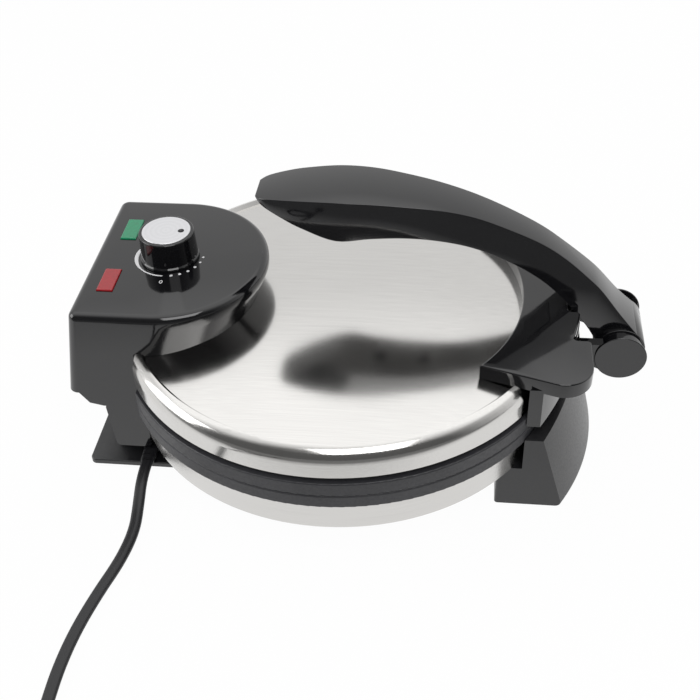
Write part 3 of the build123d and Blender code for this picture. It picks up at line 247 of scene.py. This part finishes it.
# ---- Materials ----
def brushed_stainless(name, wrapped, roughness):
    """Ferritic stainless sheet with a brushed finish: a soft grey mirror, drawn out along fine lines.

    The lines run straight along X on the lid, and round the wall on the base. Real ones are about 0.05 mm
    apart, and are drawn at 0.5 mm so that they show."""
    material, tree, shader, place = begin_material(name, {"Metallic": 1.0})
    if wrapped:
        parts = add_node(tree, "ShaderNodeSeparateXYZ", {}, {0: place})
        along = add_node(tree, "ShaderNodeMath", {"operation": "SUBTRACT"}, {
            0: parts.outputs["X"], 1: axis_x * mm,
        })
        turn = add_node(tree, "ShaderNodeMath", {"operation": "ARCTAN2"},
                        {0: parts.outputs["Y"], 1: along.outputs[0]})
        arc = add_node(tree, "ShaderNodeMath", {"operation": "MULTIPLY"}, {
            0: turn.outputs[0], 1: ring_radius * mm,
        })
        place = add_node(tree, "ShaderNodeCombineXYZ", {}, {
            0: arc.outputs[0], 2: parts.outputs["Z"],
        }).outputs[0]
    line_length = 70.0
    line_spacing = 0.5
    cloud_size = 45.0
    drawn = add_node(tree, "ShaderNodeMapping", {}, {
        "Vector": place,
        "Scale": (per_metre(line_length), per_metre(line_spacing), per_metre(line_spacing)),
    })
    lines = add_node(tree, "ShaderNodeTexNoise", {}, {
        "Vector": drawn.outputs[0], "Scale": 1.0, "Detail": 3.0,
    })
    cloud = add_node(tree, "ShaderNodeTexNoise", {}, {
        "Vector": place, "Scale": per_metre(cloud_size), "Detail": 2.0,
    })
    colour = add_node(tree, "ShaderNodeMixRGB", {}, {
        "Fac": lines.outputs[0], "Color1": srgb("#c9c7c5"), "Color2": srgb("#dad9d6"),
    })
    rough = add_node(tree, "ShaderNodeMapRange", {}, {
        "Value": cloud.outputs[0], "From Min": 0.3, "From Max": 0.7,
        "To Min": roughness, "To Max": roughness + 0.04,
    })
    bump = add_node(tree, "ShaderNodeBump", {}, {
        "Height": lines.outputs[0], "Strength": 0.12, "Distance": 0.05 * mm,
    })
    link_looks(tree, shader, colour, rough, bump)
    return material


def moulded_plastic(name, dark, light, gloss, grain, depth, ior):
    """Compression-moulded plastic: a plain dark body, with the gloss and grain of its mould."""
    material, tree, shader, place = begin_material(name, {"IOR": ior})
    flow_size = 28.0
    flow = add_node(tree, "ShaderNodeTexNoise", {}, {
        "Vector": place, "Scale": per_metre(flow_size), "Detail": 3.0,
    })
    skin = add_node(tree, "ShaderNodeTexNoise", {}, {
        "Vector": place, "Scale": per_metre(grain), "Detail": 4.0,
    })
    colour = add_node(tree, "ShaderNodeMixRGB", {}, {
        "Fac": flow.outputs[0], "Color1": srgb(dark), "Color2": srgb(light),
    })
    rough = add_node(tree, "ShaderNodeMapRange", {}, {
        "Value": skin.outputs[0], "From Min": 0.3, "From Max": 0.7, "To Min": gloss, "To Max": gloss * 1.4,
    })
    bump = add_node(tree, "ShaderNodeBump", {}, {
        "Height": skin.outputs[0], "Strength": 0.3, "Distance": depth * mm,
    })
    link_looks(tree, shader, colour, rough, bump)
    return material


def cast_plate_coating():
    """Non-stick coating sprayed on cast aluminium: charcoal with a fine fleck, between matt and satin."""
    material, tree, shader, place = begin_material("nonstick_coating", {
        "IOR": 1.4, "Specular IOR Level": 0.6,
    })
    fleck_size = 0.9
    orange_peel = 2.2
    fleck = add_node(tree, "ShaderNodeTexVoronoi", {}, {"Vector": place, "Scale": per_metre(fleck_size)})
    near = add_node(tree, "ShaderNodeMapRange", {}, {
        "Value": fleck.outputs["Distance"], "From Min": 0.08, "From Max": 0.2, "To Min": 0.35, "To Max": 0.0,
    })
    colour = add_node(tree, "ShaderNodeMixRGB", {}, {
        "Fac": near.outputs[0], "Color1": srgb("#2b2b2d"), "Color2": srgb("#6d6c6a"),
    })
    peel = add_node(tree, "ShaderNodeTexNoise", {}, {"Vector": place, "Scale": per_metre(orange_peel)})
    rough = add_node(tree, "ShaderNodeMapRange", {}, {
        "Value": peel.outputs[0], "To Min": 0.32, "To Max": 0.5,
    })
    bump = add_node(tree, "ShaderNodeBump", {}, {
        "Height": peel.outputs[0], "Strength": 0.3, "Distance": 0.06 * mm,
    })
    link_looks(tree, shader, colour, rough, bump)
    return material


def plain_metal(name, dark, light, roughness, scuff):
    """Turned, drawn or plated metal: an even tone with faint scuffs of a real size."""
    material, tree, shader, place = begin_material(name, {"Metallic": 1.0})
    marks = add_node(tree, "ShaderNodeTexNoise", {}, {
        "Vector": place, "Scale": per_metre(scuff), "Detail": 4.0,
    })
    colour = add_node(tree, "ShaderNodeMixRGB", {}, {
        "Fac": marks.outputs[0], "Color1": srgb(dark), "Color2": srgb(light),
    })
    rough = add_node(tree, "ShaderNodeMapRange", {}, {
        "Value": marks.outputs[0], "To Min": roughness * 0.75, "To Max": roughness * 1.25,
    })
    bump = add_node(tree, "ShaderNodeBump", {}, {
        "Height": marks.outputs[0], "Strength": 0.1, "Distance": 0.03 * mm,
    })
    link_looks(tree, shader, colour, rough, bump)
    return material


def spun_aluminium():
    """Disc of satin aluminium, turned on a lathe: pale and even, with faint rings about its centre."""
    material, tree, shader, place = begin_material("spun_aluminium", {"Metallic": 1.0})
    centred = add_node(tree, "ShaderNodeMapping", {}, {
        "Vector": place, "Location": (-(axis_x + knob_reach) * mm, 0.0, -panel_height * mm),
    })
    ring_spacing = 0.5
    rings = add_node(tree, "ShaderNodeTexWave", {"wave_type": "RINGS", "rings_direction": "Z"}, {
        "Vector": centred.outputs[0], "Scale": per_metre(ring_spacing) / 20, "Distortion": 0.6,
    })
    colour = add_node(tree, "ShaderNodeMixRGB", {}, {
        "Fac": rings.outputs[1], "Color1": srgb("#d6d6d8"), "Color2": srgb("#dadadc"),
    })
    rough = add_node(tree, "ShaderNodeMapRange", {}, {
        "Value": rings.outputs[1], "To Min": 0.37, "To Max": 0.39,
    })
    link_looks(tree, shader, colour, rough)
    return material


def lamp_lens(name, deep, pale):
    """Tinted polycarbonate lens with a frosted underside: milky colour under a clear, glossy skin."""
    material, tree, shader, place = begin_material(name, {
        "IOR": 1.58, "Transmission Weight": 0.12, "Coat Weight": 0.25, "Coat Roughness": 0.1,
    })
    prism_size = 1.6
    frost = add_node(tree, "ShaderNodeTexNoise", {}, {
        "Vector": place, "Scale": per_metre(prism_size), "Detail": 2.0,
    })
    colour = add_node(tree, "ShaderNodeMixRGB", {}, {
        "Fac": frost.outputs[0], "Color1": srgb(deep), "Color2": srgb(pale),
    })
    rough = add_node(tree, "ShaderNodeMapRange", {}, {
        "Value": frost.outputs[0], "To Min": 0.25, "To Max": 0.4,
    })
    bump = add_node(tree, "ShaderNodeBump", {}, {
        "Height": frost.outputs[0], "Strength": 0.2, "Distance": 0.1 * mm,
    })
    link_looks(tree, shader, colour, rough, bump)
    return material


def flexible_compound(name, dark, light, roughness, grain):
    """Soft PVC or rubber: near black and matt, with a fine drag from its die or mould."""
    material, tree, shader, place = begin_material(name, {"IOR": 1.52})
    drag = add_node(tree, "ShaderNodeTexNoise", {}, {
        "Vector": place, "Scale": per_metre(grain), "Detail": 3.0,
    })
    colour = add_node(tree, "ShaderNodeMixRGB", {}, {
        "Fac": drag.outputs[0], "Color1": srgb(dark), "Color2": srgb(light),
    })
    rough = add_node(tree, "ShaderNodeMapRange", {}, {
        "Value": drag.outputs[0], "To Min": roughness * 0.8, "To Max": roughness * 1.2,
    })
    bump = add_node(tree, "ShaderNodeBump", {}, {
        "Height": drag.outputs[0], "Strength": 0.2, "Distance": 0.05 * mm,
    })
    link_looks(tree, shader, colour, rough, bump)
    return material


def mineral_wool():
    """Pressed mineral wool: pale, tangled and quite matt."""
    material, tree, shader, place = begin_material("mineral_wool", {"Roughness": 0.95})
    fibre = 1.2
    tangle = add_node(tree, "ShaderNodeTexNoise", {}, {
        "Vector": place, "Scale": per_metre(fibre), "Detail": 6.0, "Distortion": 2.0,
    })
    colour = add_node(tree, "ShaderNodeMixRGB", {}, {
        "Fac": tangle.outputs[0], "Color1": srgb("#b3a98f"), "Color2": srgb("#ddd6c4"),
    })
    bump = add_node(tree, "ShaderNodeBump", {}, {
        "Height": tangle.outputs[0], "Strength": 0.8, "Distance": 0.5 * mm,
    })
    link_looks(tree, shader, colour, bump=bump)
    return material


lid_steel = brushed_stainless("brushed_stainless_lid", wrapped=False, roughness=0.13)
wall_steel = brushed_stainless("brushed_stainless_wall", wrapped=True, roughness=0.2)
# A polished mould leaves phenolic as glossy as glass, with only a slight waviness.
gloss_phenolic = moulded_plastic("polished_black_phenolic", "#0d0d0f", "#141416", 0.07, 9.0, 0.02, 1.63)
# A vapour-blasted mould takes the mirror off, but a soft highlight stays.
satin_phenolic = moulded_plastic("satin_black_phenolic", "#141416", "#1b1b1d", 0.3, 1.2, 0.02, 1.6)
# Spark-eroded texture on the rims: a fine, even pebble that scatters light.
textured_phenolic = moulded_plastic("textured_grey_phenolic", "#232326", "#333337", 0.42, 1.5, 0.25, 1.58)
plate_coating = cast_plate_coating()
zinc_plate = plain_metal("zinc_plated_steel", "#a9aaad", "#c2c2c4", 0.32, 3.0)
galvanised = plain_metal("galvanised_steel_sheet", "#8f9194", "#adaeb0", 0.42, 6.0)
heater_sheath = plain_metal("oxidised_heater_sheath", "#5a5650", "#77716a", 0.45, 2.5)
black_oxide = plain_metal("black_oxide_steel", "#1a1a1c", "#242426", 0.5, 2.0)
brass = plain_metal("turned_brass", "#c9a457", "#dcbd77", 0.24, 2.0)
cap_aluminium = spun_aluminium()
green_lens = lamp_lens("green_polycarbonate", "#0b7d54", "#16a06f")
red_lens = lamp_lens("red_polycarbonate", "#930a14", "#b81723")
cord_pvc = flexible_compound("black_pvc_cord", "#121214", "#1c1c1f", 0.38, 1.4)
pad_rubber = flexible_compound("black_rubber", "#19191a", "#242425", 0.7, 0.8)
tie_nylon = flexible_compound("black_nylon_tie", "#101011", "#1a1a1b", 0.45, 2.0)
wool = mineral_wool()
dial_ink = flexible_compound("white_pad_print", "#e4e4e6", "#f2f2f3", 0.5, 2.0)

# ---- Finish of the solids ----
finishes = {
    lid_steel: ["lid_shell"],
    wall_steel: ["base_skirt"],
    gloss_phenolic: ["pivot_caps", "control_knob"],
    satin_phenolic: ["front_foot", "rear_stand", "foot_plate", "housing_cover", "handle_cover", "thermostat",
                     "lamp_holders"],
    textured_phenolic: ["lower_ring", "upper_ring"],
    plate_coating: ["lower_plate", "upper_plate"],
    galvanised: ["base_cover"],
    zinc_plate: ["foot_plate_screws", "foot_screws", "stand_screws", "housing_screws", "bracket_screws",
                 "hinge_pin", "pivot_bolt", "thermostat_shaft"],
    black_oxide: ["handle_screws"],
    heater_sheath: ["lower_element", "upper_element", "thermal_fuse"],
    brass: ["thermostat_bushing", "hinge_sleeves", "plug_blades"],
    cap_aluminium: ["knob_cap"],
    green_lens: ["green_lens"],
    red_lens: ["red_lens"],
    cord_pvc: ["strain_relief", "plug_body"],
    pad_rubber: ["stand_pads"],
    wool: ["lower_insulator", "upper_insulator"],
}
for finish, nodes in finishes.items():
    for name in nodes:
        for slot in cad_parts[name].material_slots:
            slot.material = finish


# ---- Flat twin cord ----
strand_radius = 1.85
floor_line = strand_radius
coil_line = strand_radius + 1.0
layer_height = 3.8
cord_route = [
    (cord_exit_reach, relief_end, cord_exit_height),
    (cord_exit_reach, relief_end - 14.0, cord_exit_height),
    (-119.4, relief_end - 32.0, floor_line + 1.4),
    (-117.2, -123.0, floor_line),
    (-119.6, -146.0, floor_line),
    (-126.4, -171.0, floor_line),
    (-131.6, -197.0, floor_line),
    (-133.6, -222.0, floor_line),
    (-132.8, -246.0, floor_line),
    (-131.6, -270.0, coil_line),
    (-131.6, -292.0, coil_line),
]
turn_radius_out = coil_mean_radius + coil_pitch * coil_turns / 2
turn_radius_in = coil_mean_radius - coil_pitch * coil_turns / 2
total_turns = 2 * coil_turns + climb_turns
coil_centre = (cord_route[-1][0] - turn_radius_out, cord_route[-1][1] - lead_end_run)


def coil_point(turn):
    """Point of the coil after a number of turns: out to in below, half a turn up, and in to out on top."""
    radius = turn_radius_out - coil_pitch * turn
    height = coil_line
    if turn > coil_turns:
        climbed = min((turn - coil_turns) / climb_turns, 1)
        radius = turn_radius_in - climb_draw * sin(pi * climbed)
        height = coil_line + layer_height * (3 * climbed ** 2 - 2 * climbed ** 3)
    if turn > coil_turns + climb_turns:
        radius = turn_radius_in + coil_pitch * (turn - coil_turns - climb_turns)
    angle = -2 * pi * turn
    return coil_centre[0] + radius * cos(angle), coil_centre[1] + radius * sin(angle), height


def twin_cord():
    """The cord's line as one spline, and the flat two-core lead that follows it with its wide side level."""
    points_per_turn = 16
    steps = round(total_turns * points_per_turn)
    points = cord_route + [coil_point(step / points_per_turn) for step in range(steps + 1)]
    end = points[-1]
    points.append((end[0], end[1] - lead_level, end[2]))
    points.append((end[0], end[1] - lead_level - lead_out / 2, (end[2] + plug_line) / 2))
    points.append((end[0], end[1] - lead_level - lead_out, plug_line))
    points.append((end[0], end[1] - lead_level - lead_out - lead_end_run, plug_line))
    curve = bpy.data.curves.new("cord_line", "CURVE")
    curve.dimensions = "3D"
    spline = curve.splines.new("NURBS")
    spline.points.add(len(points) - 1)
    for control, (along, side, height) in zip(spline.points, points):
        control.co = ((axis_x + along) * mm, side * mm, height * mm, 1.0)
    spline.order_u = 3
    spline.use_endpoint_u = True
    spline.resolution_u = 6
    guide = bpy.data.objects.new("cord_line", curve)
    path = [vertex.co.copy() for vertex in bpy.data.meshes.new_from_object(guide).vertices]
    bpy.data.objects.remove(guide)

    core_reach = radians(130)
    core_steps = 8
    section = []
    for side in (1, -1):
        for step in range(core_steps + 1):
            angle = core_reach * (2 * step / core_steps - 1)
            section.append((side * strand_radius * (1 + cos(angle)), side * strand_radius * sin(angle)))
    outline = bmesh.new()
    rings = []
    for index, here in enumerate(path):
        heading = (path[min(index + 1, len(path) - 1)] - path[max(index - 1, 0)]).normalized()
        across = heading.cross(Vector((0, 0, 1))).normalized()
        up = across.cross(heading)
        rings.append([outline.verts.new(here + (across * wide + up * high) * mm) for wide, high in section])
    for ring, after in zip(rings, rings[1:]):
        for corner in range(len(section)):
            beside = (corner + 1) % len(section)
            outline.faces.new((ring[corner], ring[beside], after[beside], after[corner]))
    outline.faces.new(list(reversed(rings[0])))
    outline.faces.new(rings[-1])
    bmesh.ops.recalc_face_normals(outline, faces=outline.faces)
    mesh = bpy.data.meshes.new("twin_cord")
    outline.to_mesh(mesh)
    outline.free()
    piece = bpy.data.objects.new("twin_cord", mesh)
    bpy.context.scene.collection.objects.link(piece)
    return finish_piece(piece, "twin_cord", "base", cord_pvc, angle=60), path


def coil_tie():
    """Nylon strap round the coil's two layers: a plain band with rounded corners."""
    slack = 0.5
    strap_width = 6.0
    strap_sheet = 0.8
    corner_radius = 2.4
    edge_radius = 0.2
    square_on = 0.9       # least share of a normal or an edge that lies along Y
    inner = turn_radius_in - climb_draw - 2 * strand_radius - slack
    outer = turn_radius_out - coil_pitch / 2 + 2 * strand_radius + slack
    low = strap_sheet
    high = coil_line + layer_height + strand_radius + slack
    middle = Vector((axis_x + coil_centre[0] - (inner + outer) / 2, coil_centre[1], (low + high) / 2)) * mm
    begin()
    bpy.ops.mesh.primitive_cube_add(size=1, location=middle)
    strap = bpy.context.object
    strap.dimensions = Vector((outer - inner, strap_width, high - low)) * mm
    bpy.ops.object.transform_apply(location=True, rotation=True, scale=True)
    bpy.ops.object.mode_set(mode="EDIT")
    bpy.ops.mesh.select_mode(type="FACE")
    mesh = bmesh.from_edit_mesh(strap.data)
    for face in mesh.faces:
        face.select_set(abs(face.normal.y) > square_on)
    bmesh.update_edit_mesh(strap.data)
    bpy.ops.mesh.delete(type="ONLY_FACE")
    bpy.ops.mesh.select_mode(type="EDGE")
    mesh = bmesh.from_edit_mesh(strap.data)
    for edge in mesh.edges:
        line = edge.verts[1].co - edge.verts[0].co
        edge.select_set(abs(line.y) > square_on * line.length)
    bmesh.update_edit_mesh(strap.data)
    bpy.ops.mesh.bevel(offset=corner_radius * mm, segments=6)
    bpy.ops.object.mode_set(mode="OBJECT")
    wall = strap.modifiers.new("wall", "SOLIDIFY")
    wall.thickness = strap_sheet * mm
    wall.offset = 1.0
    edge = strap.modifiers.new("edge", "BEVEL")
    edge.width = edge_radius * mm
    edge.segments = 2
    for modifier in ("wall", "edge"):
        bpy.ops.object.modifier_apply(modifier=modifier)
    return finish_piece(strap, "coil_strap", "base", tie_nylon)


cord, cord_path = twin_cord()
strap = coil_tie()
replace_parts(strap, "cord_tie")
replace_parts(cord, "power_cord", "cord_coil")


# ---- Press handle ----
def handle_skin():
    """The press handle's arch and hub: a flat crest between two sides that flare down to the belly."""
    stations = (     # reach, crest height, half width there, belly height, half width there
        (-47.8, 171.6, 8.6, 170.6, 9.0),
        (-43.0, 172.3, 13.4, 167.6, 14.0),
        (-32.0, 173.8, 16.9, 162.2, 17.6),
        (-20.0, 174.9, 19.2, 156.7, 19.8),
        (0.0, 175.8, 21.2, 149.9, 21.6),
        (20.0, 175.2, 20.6, 151.8, 21.2),
        (40.0, 172.8, 18.4, 152.2, 19.8),
        (60.0, 169.4, 15.6, 149.9, 18.1),
        (80.0, 163.9, 13.1, 144.7, 16.4),
        (100.0, 155.5, 11.7, 135.5, 15.1),
        (120.0, 145.1, 10.3, 122.7, 14.2),
        (135.0, 134.3, 9.7, 108.4, 14.1),
        (150.0, 121.2, 10.9, 90.0, 14.6),
        (158.0, 113.0, 11.5, 79.0, 15.4),
        (170.0, 98.1, 13.8, 75.0, 17.0),
        (181.4, 85.7, 17.1, 80.0, 17.1),
    )
    steps = 5
    rounding = 1.8
    hub_radius = 15.3
    hub_width = 34.4
    hub_rounding = 0.5
    rings = []
    begin()
    bpy.ops.mesh.primitive_cube_add(size=1)
    skin = bpy.context.object
    outline = bmesh.new()
    for index in range(len(stations) - 1):
        before, here, after, beyond = (
            Vector(stations[min(max(index + offset, 0), len(stations) - 1)]) for offset in (-1, 0, 1, 2)
        )
        for step in range(steps + (index == len(stations) - 2)):
            t = step / steps
            at = 0.5 * (2 * here + (after - before) * t + (2 * before - 5 * here + 4 * after - beyond) * t * t
                        + (3 * here - before - 3 * after + beyond) * t ** 3)
            along, crest, crest_half, belly, belly_half = at
            corners = ((crest_half, crest), (-crest_half, crest), (-belly_half, belly), (belly_half, belly))
            rings.append([outline.verts.new(Vector((axis_x + along, side, up)) * mm) for side, up in corners])
    for ring, after in zip(rings, rings[1:]):
        for corner in range(4):
            beside = (corner + 1) % 4
            outline.faces.new((ring[corner], ring[beside], after[beside], after[corner]))
    outline.faces.new(list(reversed(rings[0])))
    outline.faces.new(rings[-1])
    bmesh.ops.recalc_face_normals(outline, faces=outline.faces)
    outline.to_mesh(skin.data)
    outline.free()
    edge = skin.modifiers.new("edge", "BEVEL")
    edge.width = rounding * mm
    edge.segments = 4
    edge.angle_limit = radians(35)
    bpy.ops.object.modifier_apply(modifier="edge")
    begin()
    bpy.ops.mesh.primitive_cylinder_add(
        vertices=96, radius=hub_radius * mm, depth=hub_width * mm, rotation=(pi / 2, 0, 0),
        location=Vector((axis_x + pivot_reach, 0, pivot_height)) * mm,
    )
    hub = bpy.context.object
    edge = hub.modifiers.new("edge", "BEVEL")
    edge.width = hub_rounding * mm
    edge.segments = 2
    bpy.ops.object.modifier_apply(modifier="edge")
    begin()
    hub.select_set(True)
    skin.select_set(True)
    bpy.context.view_layer.objects.active = skin
    bpy.ops.object.join()
    return finish_piece(skin, "handle_skin", "press_handle", gloss_phenolic, angle=40)


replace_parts(handle_skin(), "handle_shell")


# ---- Housing and bracket: copies of the solids, trued to the photograph ----
def drawn_copy(name):
    """A welded copy of a solid, in place, without the normals that it came with."""
    weld_distance = 0.002
    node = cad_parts[name]
    piece = bpy.data.objects.new(name, node.data.copy())
    piece.data.transform(node.matrix_world)
    bpy.context.scene.collection.objects.link(piece)
    begin()
    piece.select_set(True)
    bpy.context.view_layer.objects.active = piece
    bpy.ops.mesh.customdata_custom_splitnormals_clear()
    outline = bmesh.new()
    outline.from_mesh(piece.data)
    bmesh.ops.remove_doubles(outline, verts=outline.verts, dist=weld_distance * mm)
    outline.to_mesh(piece.data)
    outline.free()
    return piece


def housing_skin():
    """The housing with a slimmer round end, which is drawn in less steeply towards the lid."""
    rim_bottom = 112.6
    drawn_depth = 26.0        # below the rim, past the lowest edge of the round end
    solid_reach = 63.5        # of the solid's round end at the rim, and what it loses per millimetre below
    solid_slope = 0.758
    rim_reach = 61.3          # the same for this one
    slope = 0.435
    side_slope = 0.0026       # share of the width lost per millimetre below the rim
    side_run = 25.0           # how far ahead of the round end's centre that share is reached
    piece = drawn_copy("control_housing")
    for vertex in piece.data.vertices:
        ahead = vertex.co.x / mm - axis_x - knob_reach
        below = max(rim_bottom - vertex.co.z / mm, 0)
        if ahead > 0.01 and below < drawn_depth:
            wider = (rim_reach - slope * below) / (solid_reach - solid_slope * below)
            vertex.co.x = (axis_x + knob_reach + ahead * wider) * mm
            vertex.co.y *= 1 - side_slope * below * min(ahead / side_run, 1)
    return finish_piece(piece, "housing_skin", "lid", gloss_phenolic, angle=30)


def bracket_skin():
    """The bracket with the corner of its far wing cut away."""
    cut_at = Vector((axis_x + 120.0, 70.0, 95.0))
    cut_facing = (34.0, 30.0, 0.0)
    cut_tolerance = 0.001
    piece = drawn_copy("front_bracket")
    outline = bmesh.new()
    outline.from_mesh(piece.data)
    cut = bmesh.ops.bisect_plane(
        outline, geom=outline.verts[:] + outline.edges[:] + outline.faces[:], dist=cut_tolerance * mm,
        plane_co=cut_at * mm, plane_no=cut_facing, clear_outer=True,
    )
    bmesh.ops.holes_fill(outline, edges=[e for e in cut["geom_cut"] if isinstance(e, bmesh.types.BMEdge)])
    outline.to_mesh(piece.data)
    outline.free()
    return finish_piece(piece, "bracket_skin", "lid", gloss_phenolic, angle=30)


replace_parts(housing_skin(), "control_housing")
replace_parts(bracket_skin(), "front_bracket")


# ---- Dial print ----
def dial_print():
    """Pad-printed scale round the knob: a swelling arc for the low end and a row of dots above it."""
    print_thickness = 0.12
    arc_radius = 21.0
    arc_start = radians(164)
    arc_end = radians(270)
    arc_steps = 36
    arc_half = 0.45           # half width without the swell, and what the swell adds at most
    arc_swell = 0.75
    arc_point = 0.35          # half width at its point
    swell_start = 0.22        # share of the swell that the arc starts with
    swell_pace = 1.4
    swell_bluntness = 0.8
    dots = (                  # angle round the knob in degrees, radius
        (-75.5, 0.95), (-61.2, 0.95), (-46, 0.9), (-30.7, 0.9), (-15.3, 0.8), (0, 0.8),
    )
    figure_shift = 0.5
    figure_reach = 27.2
    figure_size = 4.6
    centre = Vector((axis_x + knob_reach, 0, panel_height)) * mm
    marks = []
    begin()
    bpy.ops.mesh.primitive_plane_add(size=1, location=(0, 0, 0))
    arc = bpy.context.object
    swept = bmesh.new()
    pairs = []
    for step in range(arc_steps + 1):
        share = step / arc_steps
        angle = arc_start + (arc_end - arc_start) * share
        swell = sin(pi * min(share * swell_pace + swell_start, 1)) ** swell_bluntness
        half = arc_half + arc_swell * swell if step < arc_steps else arc_point
        out = Vector((cos(angle), sin(angle), 0))
        pairs.append([swept.verts.new(centre + out * (arc_radius + reach * half) * mm) for reach in (-1, 1)])
    for near, far in zip(pairs, pairs[1:]):
        swept.faces.new((near[0], near[1], far[1], far[0]))
    swept.to_mesh(arc.data)
    swept.free()
    marks.append(arc)
    for degrees_round, radius in dots:
        angle = radians(degrees_round)
        begin()
        place = centre + Vector((cos(angle), sin(angle), 0)) * arc_radius * mm
        bpy.ops.mesh.primitive_circle_add(vertices=24, radius=radius * mm, fill_type="NGON", location=place)
        marks.append(bpy.context.object)
    bpy.ops.object.text_add(location=centre + Vector((figure_shift, -figure_reach, 0)) * mm)
    figure = bpy.context.object
    figure.data.body = "0"
    figure.data.align_x = "CENTER"
    figure.data.align_y = "CENTER"
    figure.data.size = figure_size * mm
    begin()
    figure.select_set(True)
    bpy.context.view_layer.objects.active = figure
    bpy.ops.object.convert(target="MESH")
    marks.append(bpy.context.object)
    begin()
    for mark in marks:
        mark.select_set(True)
    bpy.context.view_layer.objects.active = arc
    bpy.ops.object.transform_apply(location=True, rotation=True, scale=True)
    bpy.ops.object.join()
    ink = arc.modifiers.new("ink", "SOLIDIFY")
    ink.thickness = print_thickness * mm
    ink.offset = 1.0
    bpy.ops.object.modifier_apply(modifier="ink")
    return finish_piece(arc, "dial_print", "lid", dial_ink)


dial_print()
